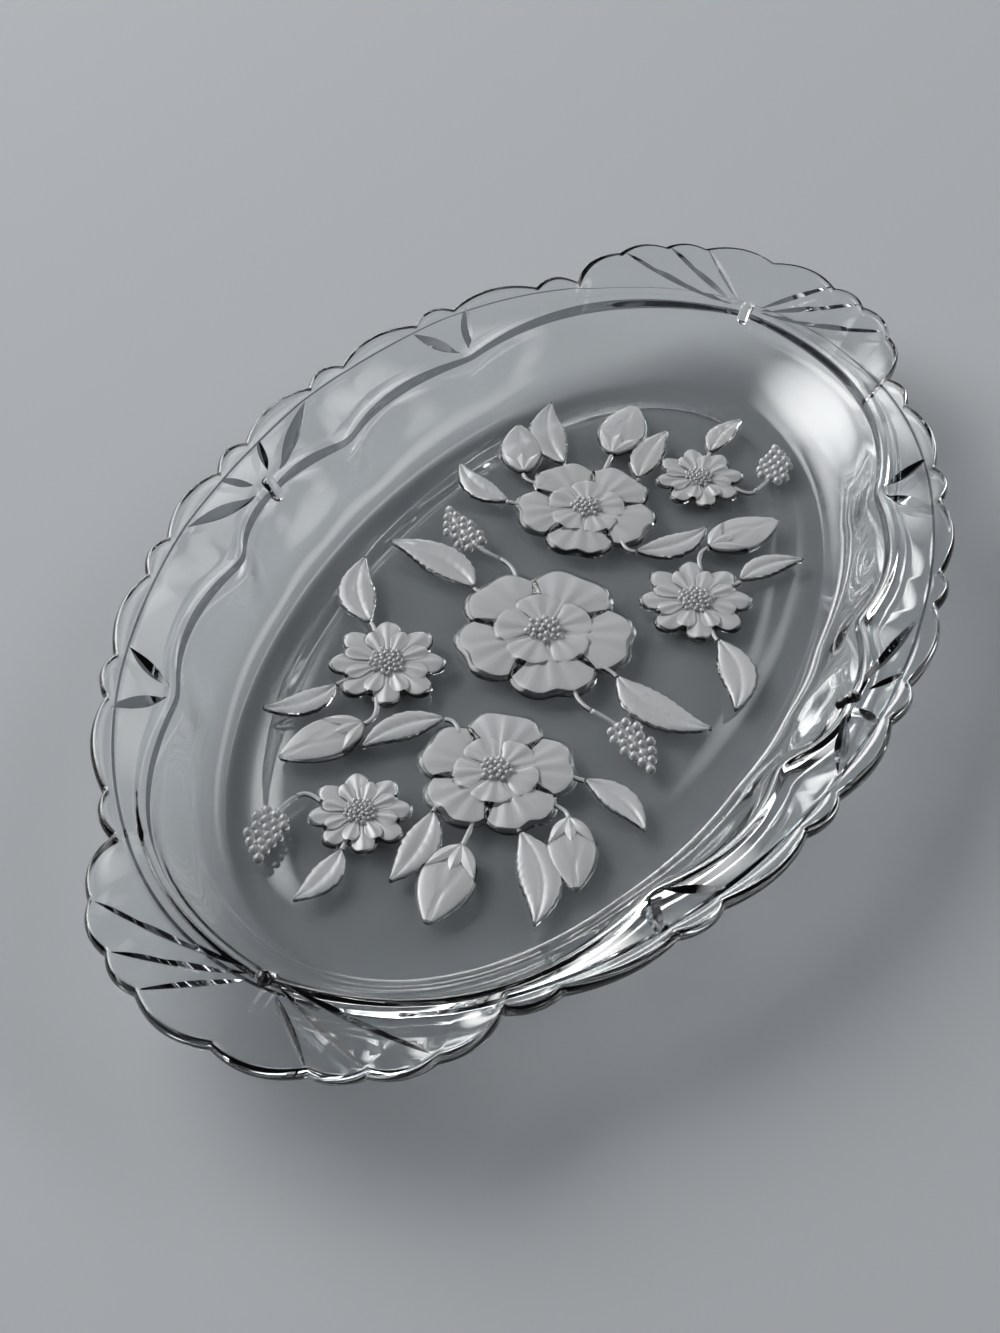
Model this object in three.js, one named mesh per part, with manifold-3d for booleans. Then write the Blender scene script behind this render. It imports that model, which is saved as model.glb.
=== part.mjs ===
// Oval serving platter of clear pressed glass: a flat oval well, a curved wall whose top edge is drawn
// into swags, a flared rim with a scalloped border and cut leaf sprigs, and two fan-shaped handle lugs.
// A frosted floral spray stands in low relief on the floor of the well.
// Millimetres, +Z up, +X along the length. The origin is under the middle of the foot.

import * as THREE from "three";
import { mergeVertices } from "three/addons/utils/BufferGeometryUtils.js";
import Module from "manifold-3d";

const wasm = await Module();
wasm.setup();

// Driving dimensions: the oval and its heights
const OVAL_LENGTH = 336; // across the border's cusps, along X
const OVAL_WIDTH = 224; // across the border's cusps, along Y
const RIM_HEIGHT = 35; // top of the border at the middle of a long side
const HANDLE_HEIGHT = 31.5; // top of the border at the tip of a handle
const EDGE_HEIGHT = 25; // the swagged edge where the wall meets the rim
const FLOOR_LENGTH = 276; // flat floor of the well
const FLOOR_WIDTH = 152;
const FLOOR_TOP = 6; // upper face of the floor
const FOOT_WIDTH = 8; // flat ring that the platter stands on
const FOOT_HEIGHT = 1.2; // hollow under the floor inside the foot

// Driving dimensions: glass thickness, measured straight down
const EDGE_THICKNESS = 7.5;
const RIM_THICKNESS = 5;
const BORDER_NOSE = 1.8; // rounding of the outer edge

// Driving dimensions: scalloped border, counted from the middle of a long side
const SCALLOP_SHARE = 0.711; // part of a quarter's length that they take, up to the neck of the handle
const LARGE_TO_SMALL = 2.125; // length of a large scallop over a small one
const SMALL_RISE = 2.6; // how far a scallop stands out past its cusps
const LARGE_RISE = 3.6;
const SCALLOPS_TO_HANDLE = 3; // pairs of large and small scallops after the middle one
const CREASE_INSET = 5.5; // fine step that runs round the rim inside the border
const CREASE_STEP = 0.6;

// Driving dimensions: handle lugs
const HANDLE_WIDTH = 120;
const HANDLE_PROJECTION = 19; // past the oval
const HANDLE_SETBACK = 28; // centre of the lug's curve, inside the oval's end
const HANDLE_RISE_SHARE = 0.15; // a handle scallop's rise over its chord
const FAN_RAY_ANGLES = [85, 67, 48]; // degrees from the long axis, seen from the bead

// Driving dimensions: swagged edge. Its cusps are shares of the oval's half-axes, in the quarter of +X and +Y
const SWAG_MIDDLE_SHARE = [0, 0.862]; // four-leaf sprig
const SWAG_NOTCH_SHARE = [0.19, 0.781]; // bare cusp
const SWAG_SPRIG_SHARE = [0.536, 0.656]; // two-leaf sprig
const SWAG_END_SHARE = [0.955, 0]; // bead of the fan
const SWAG_BULGES = [0.105, 0.117, 0.182]; // bulge of each swag over its chord
const SWAG_STEP = 3; // steep lip under the edge at the middle of a swag
const SWAG_STEP_RUN = 1.2; // how far the lip leans back

// Driving dimensions: cut leaves, rays and beads
const LEAF_CUT_DEPTH = 1.2;
const TWO_LEAF = { length: 0.93, width: 0.3, start: 0.14, spread: 37 }; // shares of the rim's width, degrees
const FOUR_LEAF_LONG = { length: 1.84, width: 0.34, start: 0.39, spread: 76 };
const FOUR_LEAF_SHORT = { length: 0.78, width: 0.3, start: 0.33, spread: 43 };
const RAY_DEPTH = 0.8;
const RAY_WIDTH = 2.6;
const RAY_START = 6; // from the bead
const RAY_MARGIN = 2.5; // short of the cusp
const BEAD_RADIUS = 2.5;
const BEAD_LENGTH = 4.5; // between the centres of its round ends

// Driving dimensions: relief of the floral spray
const BLOSSOM_HEIGHT = 2.2;
const LEAF_HEIGHT = 1.3;
const STEM_HEIGHT = 0.9;
const BERRY_RADIUS = 2.7;
const RELIEF_GAP = 0.3; // between neighbouring pieces of the relief

const LARGE_STEPS = 5; // facets along a large scallop
const SMALL_STEPS = 4;
const HANDLE_STEPS = [5, 4, 3, 6];

const oval = new THREE.Vector2(OVAL_LENGTH / 2, OVAL_WIDTH / 2);
const floorOval = new THREE.Vector2(FLOOR_LENGTH / 2, FLOOR_WIDTH / 2);
const creaseOval = oval.clone().subScalar(CREASE_INSET);
const ovalShare = ([x, y]) => new THREE.Vector2(x * oval.x, y * oval.y);
const swagCusps = [SWAG_MIDDLE_SHARE, SWAG_NOTCH_SHARE, SWAG_SPRIG_SHARE, SWAG_END_SHARE].map(ovalShare);
const [swagMiddle, , swagSprig, swagEnd] = swagCusps;

const clearGlass = new THREE.MeshStandardMaterial({ color: 0xdfe6e6, roughness: 0.05, metalness: 0 });
const frostedGlass = new THREE.MeshStandardMaterial({ color: 0xeef1f1, roughness: 0.55, metalness: 0 });

const platter = new THREE.Group();
platter.name = "oval_platter";

function addPiece(name, solid, material) {
  const mesh = new THREE.Mesh(solidToGeometry(solid), material);
  mesh.name = name;
  platter.add(mesh);
}

// Solids

function toSolid(vertices, triangles) {
  const positions = new Float32Array(vertices.flatMap((p) => [p.x, p.y, p.z]));
  const geometry = new THREE.BufferGeometry();
  geometry.setAttribute("position", new THREE.BufferAttribute(positions, 3));
  geometry.setIndex(triangles);
  return geometryToSolid(geometry);
}

function geometryToSolid(geometry) {
  const bare = geometry.clone();
  bare.deleteAttribute("normal");
  bare.deleteAttribute("uv");
  const merged = mergeVertices(bare, 1e-4);
  return new wasm.Manifold(
    new wasm.Mesh({
      numProp: 3,
      vertProperties: new Float32Array(merged.attributes.position.array),
      triVerts: new Uint32Array(merged.index.array),
    }),
  );
}

function solidToGeometry(solid) {
  const mesh = solid.getMesh();
  const geometry = new THREE.BufferGeometry();
  geometry.setAttribute("position", new THREE.BufferAttribute(new Float32Array(mesh.vertProperties), 3));
  geometry.setIndex(new THREE.BufferAttribute(new Uint32Array(mesh.triVerts), 1));
  geometry.computeVertexNormals();
  return geometry;
}

// A loft through closed sections that all have the same number of points. A ring closes on itself,
// and an open run gets a flat end at its first and last section.
function loft(sections, closed) {
  const count = sections[0].length;
  const triangles = [];
  const runs = closed ? sections.length : sections.length - 1;
  for (let i = 0; i < runs; i++) {
    const here = i * count;
    const next = ((i + 1) % sections.length) * count;
    for (let k = 0; k < count; k++) {
      const after = (k + 1) % count;
      triangles.push(here + k, next + k, next + after, here + k, next + after, here + after);
    }
  }
  if (!closed) {
    const last = sections.length - 1;
    for (const [a, b, c] of capTriangles(sections[0])) triangles.push(a, b, c);
    for (const [a, b, c] of capTriangles(sections[last])) {
      triangles.push(last * count + a, last * count + c, last * count + b);
    }
  }
  return toSolid(sections.flat(), triangles);
}

// Triangles of a section, seen in its own upright plane.
function capTriangles(section) {
  const origin = section[0];
  const farthest = section.reduce((best, p) =>
    Math.hypot(p.x - origin.x, p.y - origin.y) > Math.hypot(best.x - origin.x, best.y - origin.y) ? p : best,
  );
  const along = new THREE.Vector2(farthest.x - origin.x, farthest.y - origin.y).normalize();
  const contour = section.map(
    (p) => new THREE.Vector2((p.x - origin.x) * along.x + (p.y - origin.y) * along.y, p.z),
  );
  const faces = THREE.ShapeUtils.triangulateShape(contour, []);
  return THREE.ShapeUtils.isClockWise(contour) ? faces.map(([a, b, c]) => [a, c, b]) : faces;
}

// Outline of one quarter, from the middle of the long side to the tip of the handle

function ellipsePoint(axes, angle) {
  return new THREE.Vector2(axes.x * Math.cos(angle), axes.y * Math.sin(angle));
}

function ellipseAngle(axes, point) {
  return Math.atan2(point.y / axes.y, point.x / axes.x);
}

// Angle on the oval at a share of a quarter's length, measured from the middle of the long side towards +X.
const ANGLE_STEP = Math.PI / 2 / 4000;

function ovalRun(angle) {
  return ANGLE_STEP * Math.hypot(oval.x * Math.sin(angle), oval.y * Math.cos(angle));
}

function ovalAngleAtShare(share) {
  let quarter = 0;
  for (let angle = Math.PI / 2; angle > 0; angle -= ANGLE_STEP) quarter += ovalRun(angle);
  let angle = Math.PI / 2;
  for (let run = 0; run < share * quarter; angle -= ANGLE_STEP) run += ovalRun(angle);
  return angle;
}

// Where a ray of the fan meets the curve of the handle lug.
function handleCusp(degrees) {
  const direction = new THREE.Vector2(Math.cos(THREE.MathUtils.degToRad(degrees)),
    Math.sin(THREE.MathUtils.degToRad(degrees)));
  const centre = oval.x - HANDLE_SETBACK;
  const reach = HANDLE_SETBACK + HANDLE_PROJECTION;
  const half = HANDLE_WIDTH / 2;
  const from = swagEnd.x - centre;
  const a = (direction.x / reach) ** 2 + (direction.y / half) ** 2;
  const b = (2 * from * direction.x) / reach ** 2;
  const c = (from / reach) ** 2 - 1;
  const t = (-b + Math.sqrt(b * b - 4 * a * c)) / (2 * a);
  return swagEnd.clone().addScaledVector(direction, t);
}

// Points along one scallop after its first cusp: a shallow arch over the chord between two cusps.
function scallop(from, to, rise, steps, start = 0) {
  const chord = to.clone().sub(from);
  const outward = new THREE.Vector2(-chord.y, chord.x).normalize();
  const points = [];
  for (let i = 1; i <= steps; i++) {
    const s = start + ((1 - start) * i) / steps;
    points.push(from.clone().addScaledVector(chord, s).addScaledVector(outward, 4 * rise * s * (1 - s)));
  }
  return points;
}

function quarterOutline() {
  const small = SCALLOP_SHARE / (0.5 + SCALLOPS_TO_HANDLE * (1 + LARGE_TO_SMALL));
  const cusps = [small / 2];
  for (let i = 0; i < SCALLOPS_TO_HANDLE; i++) {
    cusps.push(cusps.at(-1) + small * LARGE_TO_SMALL);
    cusps.push(cusps.at(-1) + small);
  }
  const sideCusps = cusps.map((share) => ellipsePoint(oval, ovalAngleAtShare(share)));
  const mirrored = new THREE.Vector2(-sideCusps[0].x, sideCusps[0].y);
  const middle = new THREE.Vector2(0, sideCusps[0].y + SMALL_RISE);
  const points = [middle, ...scallop(mirrored, sideCusps[0], SMALL_RISE, SMALL_STEPS / 2, 0.5)];
  for (let i = 1; i < sideCusps.length; i++) {
    const large = i % 2 === 1;
    points.push(...scallop(sideCusps[i - 1], sideCusps[i], large ? LARGE_RISE : SMALL_RISE,
      large ? LARGE_STEPS : SMALL_STEPS));
  }
  const tip = new THREE.Vector2(oval.x + HANDLE_PROJECTION, 0);
  const handleCusps = [sideCusps.at(-1), ...FAN_RAY_ANGLES.map(handleCusp), tip];
  for (let i = 1; i < handleCusps.length; i++) {
    const rise = HANDLE_RISE_SHARE * handleCusps[i].distanceTo(handleCusps[i - 1]);
    points.push(...scallop(handleCusps[i - 1], handleCusps[i], rise, HANDLE_STEPS[i - 1]));
  }
  return points;
}

// The swagged edge: three arches between cusps that point into the well.
function swagPoint(swag, share) {
  const chord = swagCusps[swag + 1].clone().sub(swagCusps[swag]);
  const outward = new THREE.Vector2(-chord.y, chord.x);
  return swagCusps[swag].clone().addScaledVector(chord, share)
    .addScaledVector(outward, 4 * SWAG_BULGES[swag] * share * (1 - share));
}

// Stations: one upright cut through the platter for each point of the outline

function quarterStations() {
  const points = quarterOutline();
  const angles = points.map((p) => ellipseAngle(oval, p));
  const middleSteps = SMALL_STEPS / 2;
  const notch = middleSteps + LARGE_STEPS - 1;
  const sprig = middleSteps + 2 * LARGE_STEPS + SMALL_STEPS + SMALL_STEPS / 2;
  const ends = [0, notch, sprig, points.length - 1];
  const edgeOval = new THREE.Vector2(swagEnd.x, swagMiddle.y);
  return points.map((outer, i) => {
    const swag = i < notch ? 0 : i < sprig ? 1 : 2;
    const share = (angles[i] - angles[ends[swag]]) / (angles[ends[swag + 1]] - angles[ends[swag]]);
    const edge = swagPoint(swag, share);
    const floor = ellipsePoint(floorOval, ellipseAngle(edgeOval, edge));
    const lift = Math.sin(angles[i]) ** 2;
    const top = HANDLE_HEIGHT + (RIM_HEIGHT - HANDLE_HEIGHT) * lift;
    return { outer, edge, floor, top, lip: SWAG_STEP * (0.35 + 0.65 * Math.sin(Math.PI * share)) };
  });
}

function mirrorStation(station, sx, sy) {
  const flip = (p) => new THREE.Vector2(p.x * sx, p.y * sy);
  return { ...station, outer: flip(station.outer), edge: flip(station.edge), floor: flip(station.floor) };
}

// All round, anticlockwise from above, starting at the tip of the +X handle.
function allStations() {
  const quarter = quarterStations();
  const backwards = [...quarter].reverse();
  return [
    ...backwards.slice(0, -1),
    ...quarter.slice(0, -1).map((s) => mirrorStation(s, -1, 1)),
    ...backwards.slice(0, -1).map((s) => mirrorStation(s, -1, -1)),
    ...quarter.slice(0, -1).map((s) => mirrorStation(s, 1, -1)),
  ];
}

const stations = allStations();
const quarterCount = stations.length / 4;
const neckOffset = HANDLE_STEPS.reduce((sum, n) => sum + n, 0);

function between(from, to, share, z) {
  return new THREE.Vector3(from.x + (to.x - from.x) * share, from.y + (to.y - from.y) * share, z);
}

// Section of the wall: a curve that leaves the floor level and steepens towards the edge.
const WALL_CURVE = 1.75;
const UNDER_CURVE = 1.6;
const WALL_SHARES = [0, 0.4, 0.75, 1];
const UNDER_SHARES = [1, 0.55, 0];

function wallSection(station) {
  const edgeUnder = EDGE_HEIGHT - EDGE_THICKNESS;
  const lipShare = 1 - SWAG_STEP_RUN / station.floor.distanceTo(station.edge);
  const rise = EDGE_HEIGHT - station.lip - FLOOR_TOP;
  const top = WALL_SHARES.map((s) =>
    between(station.floor, station.edge, s * lipShare, FLOOR_TOP + rise * s ** WALL_CURVE));
  top.push(between(station.floor, station.edge, 1, EDGE_HEIGHT));
  const under = UNDER_SHARES.map((s) => between(station.floor, station.edge, s, edgeUnder * s ** UNDER_CURVE));
  return [...top, ...under].reverse();
}

// Share of the way from the edge to the border at which the fine crease crosses a station.
function creaseShare(station) {
  const inside = (share) => {
    const p = between(station.edge, station.outer, share, 0);
    return (p.x / creaseOval.x) ** 2 + (p.y / creaseOval.y) ** 2 < 1;
  };
  let low = 0;
  let high = 1;
  for (let i = 0; i < 30; i++) {
    const middle = (low + high) / 2;
    if (inside(middle)) low = middle;
    else high = middle;
  }
  return low;
}

function rimHeight(station, share) {
  return EDGE_HEIGHT + (station.top - EDGE_HEIGHT) * share;
}

function rimSection(station) {
  const width = station.edge.distanceTo(station.outer);
  const crease = creaseShare(station);
  const stepShare = CREASE_STEP / width;
  const noseShare = 1 - BORDER_NOSE / width;
  const at = (share, z) => between(station.edge, station.outer, share, z);
  return [
    at(0, EDGE_HEIGHT),
    at(crease, rimHeight(station, crease)),
    at(crease + stepShare, rimHeight(station, crease) - CREASE_STEP),
    at(noseShare, station.top - CREASE_STEP),
    at(1, station.top - CREASE_STEP - BORDER_NOSE),
    at(noseShare, station.top - RIM_THICKNESS),
    at(crease / 2, rimHeight(station, crease / 2) - RIM_THICKNESS - 0.6),
    at(0, EDGE_HEIGHT - EDGE_THICKNESS),
  ].reverse();
}

// Stations from one index to another, going round.
function arcOfStations(from, to) {
  const arc = [];
  for (let i = from; i <= to; i++) arc.push(stations[(i + stations.length) % stations.length]);
  return arc;
}

const sideRuns = {
  left: [neckOffset, 2 * quarterCount - neckOffset],
  right: [2 * quarterCount + neckOffset, 4 * quarterCount - neckOffset],
};
const handleRuns = {
  far: [-neckOffset, neckOffset],
  near: [2 * quarterCount - neckOffset, 2 * quarterCount + neckOffset],
};

const wall = loft(stations.map(wallSection), true);
const rims = {};
const handles = {};
for (const [side, [from, to]] of Object.entries(sideRuns)) {
  rims[side] = loft(arcOfStations(from, to).map(rimSection), false);
}
for (const [end, [from, to]] of Object.entries(handleRuns)) {
  handles[end] = loft(arcOfStations(from, to).map(rimSection), false);
}

// Floor: a flat slab with a low foot under its edge

function floorSolid() {
  const count = stations.length;
  const inner = floorOval.clone().subScalar(FOOT_WIDTH);
  const recess = inner.clone().subScalar(FOOT_HEIGHT);
  const rings = [
    stations.map((s) => new THREE.Vector3(s.floor.x, s.floor.y, FLOOR_TOP)),
    stations.map((s) => new THREE.Vector3(s.floor.x, s.floor.y, 0)),
  ];
  for (const [axes, z] of [[inner, 0], [recess, FOOT_HEIGHT]]) {
    rings.push(stations.map((s) => {
      const p = ellipsePoint(axes, ellipseAngle(floorOval, s.floor));
      return new THREE.Vector3(p.x, p.y, z);
    }));
  }
  const vertices = [...rings.flat(), new THREE.Vector3(0, 0, FLOOR_TOP), new THREE.Vector3(0, 0, FOOT_HEIGHT)];
  const triangles = [];
  for (let i = 0; i < count; i++) {
    const j = (i + 1) % count;
    for (let ring = 0; ring < rings.length - 1; ring++) {
      const [a, b] = [ring * count, (ring + 1) * count];
      triangles.push(a + i, b + i, b + j, a + i, b + j, a + j);
    }
    triangles.push(rings.length * count, i, j);
    triangles.push(rings.length * count + 1, (rings.length - 1) * count + j, (rings.length - 1) * count + i);
  }
  return toSolid(vertices, triangles);
}

// Cuts in the upper face of the rim

// Height of the rim's upper face over a point of the plan.
function rimSurface(point) {
  const side = (s) => {
    const line = s.outer.clone().sub(s.edge);
    return (line.x * (point.y - s.edge.y) - line.y * (point.x - s.edge.x)) / line.length();
  };
  for (let i = 0; i < stations.length; i++) {
    const [here, next] = [stations[i], stations[(i + 1) % stations.length]];
    const [before, after] = [side(here), side(next)];
    if (before < 0 || after >= 0 || point.dot(here.outer) < 0) continue;
    const weight = before / (before - after);
    const edge = here.edge.clone().lerp(next.edge, weight);
    const line = here.outer.clone().lerp(next.outer, weight).sub(edge);
    const share = point.clone().sub(edge).dot(line) / line.lengthSq();
    const top = here.top + (next.top - here.top) * weight;
    return EDGE_HEIGHT + (top - EDGE_HEIGHT) * share;
  }
  return EDGE_HEIGHT;
}

// A solid that runs between two pointed ends through closed sections.
function spindle(start, sections, end) {
  const count = sections[0].length;
  const vertices = [...sections.flat(), start, end];
  const triangles = [];
  const last = (sections.length - 1) * count;
  for (let k = 0; k < count; k++) {
    const after = (k + 1) % count;
    for (let i = 0; i < last; i += count) {
      triangles.push(i + k, i + count + k, i + count + after, i + k, i + count + after, i + after);
    }
    triangles.push(vertices.length - 2, k, after, vertices.length - 1, last + after, last + k);
  }
  return toSolid(vertices, triangles);
}

// Cutter for a mitred groove with pointed ends: straight in plan, and it follows the slope of the rim.
function grooveCutter(from, to, width, depth) {
  const steps = 8;
  const clearance = 0.6;
  const along = to.clone().sub(from).normalize();
  const left = new THREE.Vector2(-along.y, along.x);
  const on = (point, rise) => new THREE.Vector3(point.x, point.y, rimSurface(point) + rise);
  const sections = [];
  for (let i = 1; i < steps; i++) {
    const centre = from.clone().lerp(to, i / steps);
    const fullness = Math.sin((Math.PI * i) / steps);
    const half = (width / 2) * (fullness + clearance / depth);
    sections.push([
      on(centre.clone().addScaledVector(left, -half), clearance),
      on(centre.clone().addScaledVector(left, half), clearance),
      on(centre, -depth * fullness),
    ]);
  }
  return spindle(on(from, 0), sections, on(to, 0));
}

function turned(direction, degrees) {
  return direction.clone().rotateAround(new THREE.Vector2(), THREE.MathUtils.degToRad(degrees));
}

// Two leaves that spread to both sides of the outward direction at a cusp of the swagged edge.
function leafPair(cusp, outward, leaf) {
  const direction = outward.clone().normalize();
  return [-1, 1].map((side) => {
    const heading = turned(direction, side * leaf.spread).multiplyScalar(outward.length());
    const from = cusp.clone().addScaledVector(heading, leaf.start);
    const to = from.clone().addScaledVector(heading, leaf.length);
    return grooveCutter(from, to, leaf.width * outward.length(), LEAF_CUT_DEPTH);
  });
}

// The way across the rim at a cusp, from the swagged edge to the border.
function acrossRim(cusp) {
  const station = stations.find((s) => s.edge.distanceTo(cusp) < 1e-6);
  return station.outer.clone().sub(station.edge);
}

for (const [side, sy] of [["left", 1], ["right", -1]]) {
  const cutters = [];
  for (const leaf of [FOUR_LEAF_LONG, FOUR_LEAF_SHORT]) {
    const flip = new THREE.Vector2(1, sy);
    cutters.push(...leafPair(swagMiddle.clone().multiply(flip), acrossRim(swagMiddle).multiply(flip), leaf));
  }
  for (const sx of [-1, 1]) {
    const flip = new THREE.Vector2(sx, sy);
    cutters.push(...leafPair(swagSprig.clone().multiply(flip), acrossRim(swagSprig).multiply(flip), TWO_LEAF));
  }
  for (const cutter of cutters) rims[side] = rims[side].subtract(cutter);
}

for (const [end, sx] of [["far", 1], ["near", -1]]) {
  for (const sy of [-1, 1]) {
    for (const degrees of FAN_RAY_ANGLES) {
      const flip = new THREE.Vector2(sx, sy);
      const bead = swagEnd.clone().multiply(flip);
      const cusp = handleCusp(degrees).multiply(flip);
      const direction = cusp.clone().sub(bead).normalize();
      const from = bead.clone().addScaledVector(direction, RAY_START);
      const to = cusp.clone().addScaledVector(direction, -RAY_MARGIN);
      handles[end] = handles[end].subtract(grooveCutter(from, to, RAY_WIDTH, RAY_DEPTH));
    }
  }
}

// Beads: round-ended pegs that hang from the swagged edge onto the wall

function beadSolid(cusp, rim) {
  const inward = cusp.clone().normalize().negate();
  const head = new THREE.Vector3(cusp.x - inward.x * 1.5, cusp.y - inward.y * 1.5, EDGE_HEIGHT + 1);
  const drop = new THREE.Vector3(inward.x * 0.55, inward.y * 0.55, -0.84).normalize();
  const tail = head.clone().addScaledVector(drop, BEAD_LENGTH);
  const capsule = new THREE.CapsuleGeometry(BEAD_RADIUS, head.distanceTo(tail), 2, 8);
  capsule.applyQuaternion(new THREE.Quaternion().setFromUnitVectors(new THREE.Vector3(0, -1, 0), drop));
  capsule.translate((head.x + tail.x) / 2, (head.y + tail.y) / 2, (head.z + tail.z) / 2);
  return geometryToSolid(capsule).subtract(wall.add(rim));
}

const beads = {
  left: beadSolid(swagMiddle, rims.left),
  right: beadSolid(new THREE.Vector2(0, -swagMiddle.y), rims.right),
  near: beadSolid(new THREE.Vector2(-swagEnd.x, 0), handles.near),
  far: beadSolid(swagEnd, handles.far),
};

// Motifs of the relief: each stands with a flat base on the floor of the well

// A rosette: its outline is a radius over the angle, its upper face a height over radius and angle.
function rosette(centre, turn, steps, rings, radius, height) {
  const vertices = [];
  const triangles = [];
  const at = (r, angle, z) => new THREE.Vector3(centre.x + r * Math.cos(angle + turn),
    centre.y + r * Math.sin(angle + turn), FLOOR_TOP + z);
  for (let k = 1; k <= rings + 1; k++) {
    for (let i = 0; i < steps; i++) {
      const angle = (2 * Math.PI * i) / steps;
      const share = Math.min(k, rings) / rings;
      vertices.push(at(radius(angle) * share, angle, k > rings ? 0 : height(share, angle)));
    }
  }
  vertices.push(at(0, 0, height(0, 0)), at(0, 0, 0));
  for (let i = 0; i < steps; i++) {
    const j = (i + 1) % steps;
    for (let ring = 0; ring < rings; ring++) {
      const [a, b] = [ring * steps, (ring + 1) * steps];
      triangles.push(a + i, b + i, b + j, a + i, b + j, a + j);
    }
    triangles.push(vertices.length - 2, i, j);
    triangles.push(vertices.length - 1, rings * steps + j, rings * steps + i);
  }
  return toSolid(vertices, triangles);
}

// A tapered rib along a curve: leaf, bud or stem. The height runs over length and width.
function rib(curve, halfWidth, height, lengthSteps, crossSteps) {
  const on = (p, z) => new THREE.Vector3(p.x, p.y, FLOOR_TOP + z);
  const sections = [];
  for (let i = 1; i < lengthSteps; i++) {
    const u = i / lengthSteps;
    const centre = curve.getPoint(u);
    const along = curve.getTangent(u);
    const left = new THREE.Vector2(-along.y, along.x);
    const across = (v) => centre.clone().addScaledVector(left, halfWidth(u) * v);
    const section = [];
    for (let k = 0; k <= crossSteps; k++) {
      const v = -1 + (2 * k) / crossSteps;
      section.push(on(across(v), height(u, v)));
    }
    section.push(on(across(1), 0), on(across(-1), 0));
    sections.push(section);
  }
  return spindle(on(curve.getPoint(0), 0), sections, on(curve.getPoint(1), 0));
}

// A quarter-bent curve from a foot towards a heading, in degrees.
function sprayCurve(x, y, heading, length, bend) {
  const from = new THREE.Vector2(x, y);
  const direction = turned(new THREE.Vector2(1, 0), heading);
  const side = new THREE.Vector2(-direction.y, direction.x);
  const middle = from.clone().addScaledVector(direction, length / 2).addScaledVector(side, bend);
  return new THREE.QuadraticBezierCurve(from, middle, from.clone().addScaledVector(direction, length));
}

// Each motif is a function of how far it is grown, so that the same shape also cuts its neighbours back.
const TALL = 2 * BLOSSOM_HEIGHT;
const TALL_FLAT = () => TALL;
const RIB_STEPS = 6;

function blossom(x, y, turn, radius) {
  const petals = 5;
  const lobe = (angle) => Math.abs(Math.sin((petals * angle) / 2));
  const steps = petals * 6;
  const centre = new THREE.Vector2(x, y);
  const outline = (grow) => (angle) => radius * (0.7 + 0.3 * lobe(angle) ** 0.6) + grow;
  const dish = (share, angle) => BLOSSOM_HEIGHT
    * (0.35 + 0.55 * share - 0.35 * share ** 5) * (0.45 + 0.55 * lobe(angle) ** 0.6);
  const heart = (share) => BLOSSOM_HEIGHT * (1 - 0.4 * share ** 2);
  const inner = (angle) => radius * 0.42 * (0.8 + 0.2 * lobe(angle));
  return {
    solid: () => rosette(centre, turn, steps, 3, outline(0), dish)
      .add(rosette(centre, turn + Math.PI / petals, petals * 4, 2, inner, heart)),
    cutter: () => rosette(centre, turn, steps, 1, outline(RELIEF_GAP), TALL_FLAT),
  };
}

function daisy(x, y, turn, radius) {
  const petals = 8;
  const lobe = (angle) => Math.abs(Math.sin((petals * angle) / 2));
  const steps = petals * 4;
  const centre = new THREE.Vector2(x, y);
  const outline = (grow) => (angle) => radius * (0.62 + 0.38 * lobe(angle) ** 0.8) + grow;
  const dish = (share, angle) => 0.8 * BLOSSOM_HEIGHT * (0.45 + 0.55 * lobe(angle)) * (0.75 - 0.3 * share ** 3);
  const button = (share) => 0.9 * BLOSSOM_HEIGHT * Math.sqrt(1 - 0.7 * share ** 2);
  return {
    solid: () => rosette(centre, turn, steps, 2, outline(0), dish)
      .add(rosette(centre, turn, 10, 2, () => radius * 0.3, button)),
    cutter: () => rosette(centre, turn, steps, 1, outline(RELIEF_GAP), TALL_FLAT),
  };
}

function bud(x, y, heading, length) {
  const curve = sprayCurve(x, y, heading, length, 0);
  const half = (grow) => (u) => length * 0.3 * Math.sin(Math.PI * u ** 0.8) ** 0.8 + grow;
  const height = (u, v) => 0.9 * BLOSSOM_HEIGHT * (0.35 + 0.65 * Math.sqrt(1 - v * v))
    * (0.5 + 0.5 * Math.sin(Math.PI * u));
  return {
    solid: () => rib(curve, half(0), height, RIB_STEPS, 4),
    cutter: () => rib(curve, half(RELIEF_GAP), TALL_FLAT, RIB_STEPS, 1),
  };
}

function leaf(x, y, heading, length, bend) {
  const curve = sprayCurve(x, y, heading, length, bend);
  const half = (grow) => (u) => length * 0.19 * Math.sin(Math.PI * u ** 0.85) + grow;
  const fold = (v) => Math.sin(Math.PI * (0.1 + 0.9 * Math.abs(v)));
  const height = (u, v) => LEAF_HEIGHT * (0.45 + 0.55 * fold(v));
  return {
    solid: () => rib(curve, half(0), height, RIB_STEPS, 4),
    cutter: () => rib(curve, half(RELIEF_GAP), TALL_FLAT, RIB_STEPS, 1),
  };
}

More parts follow.
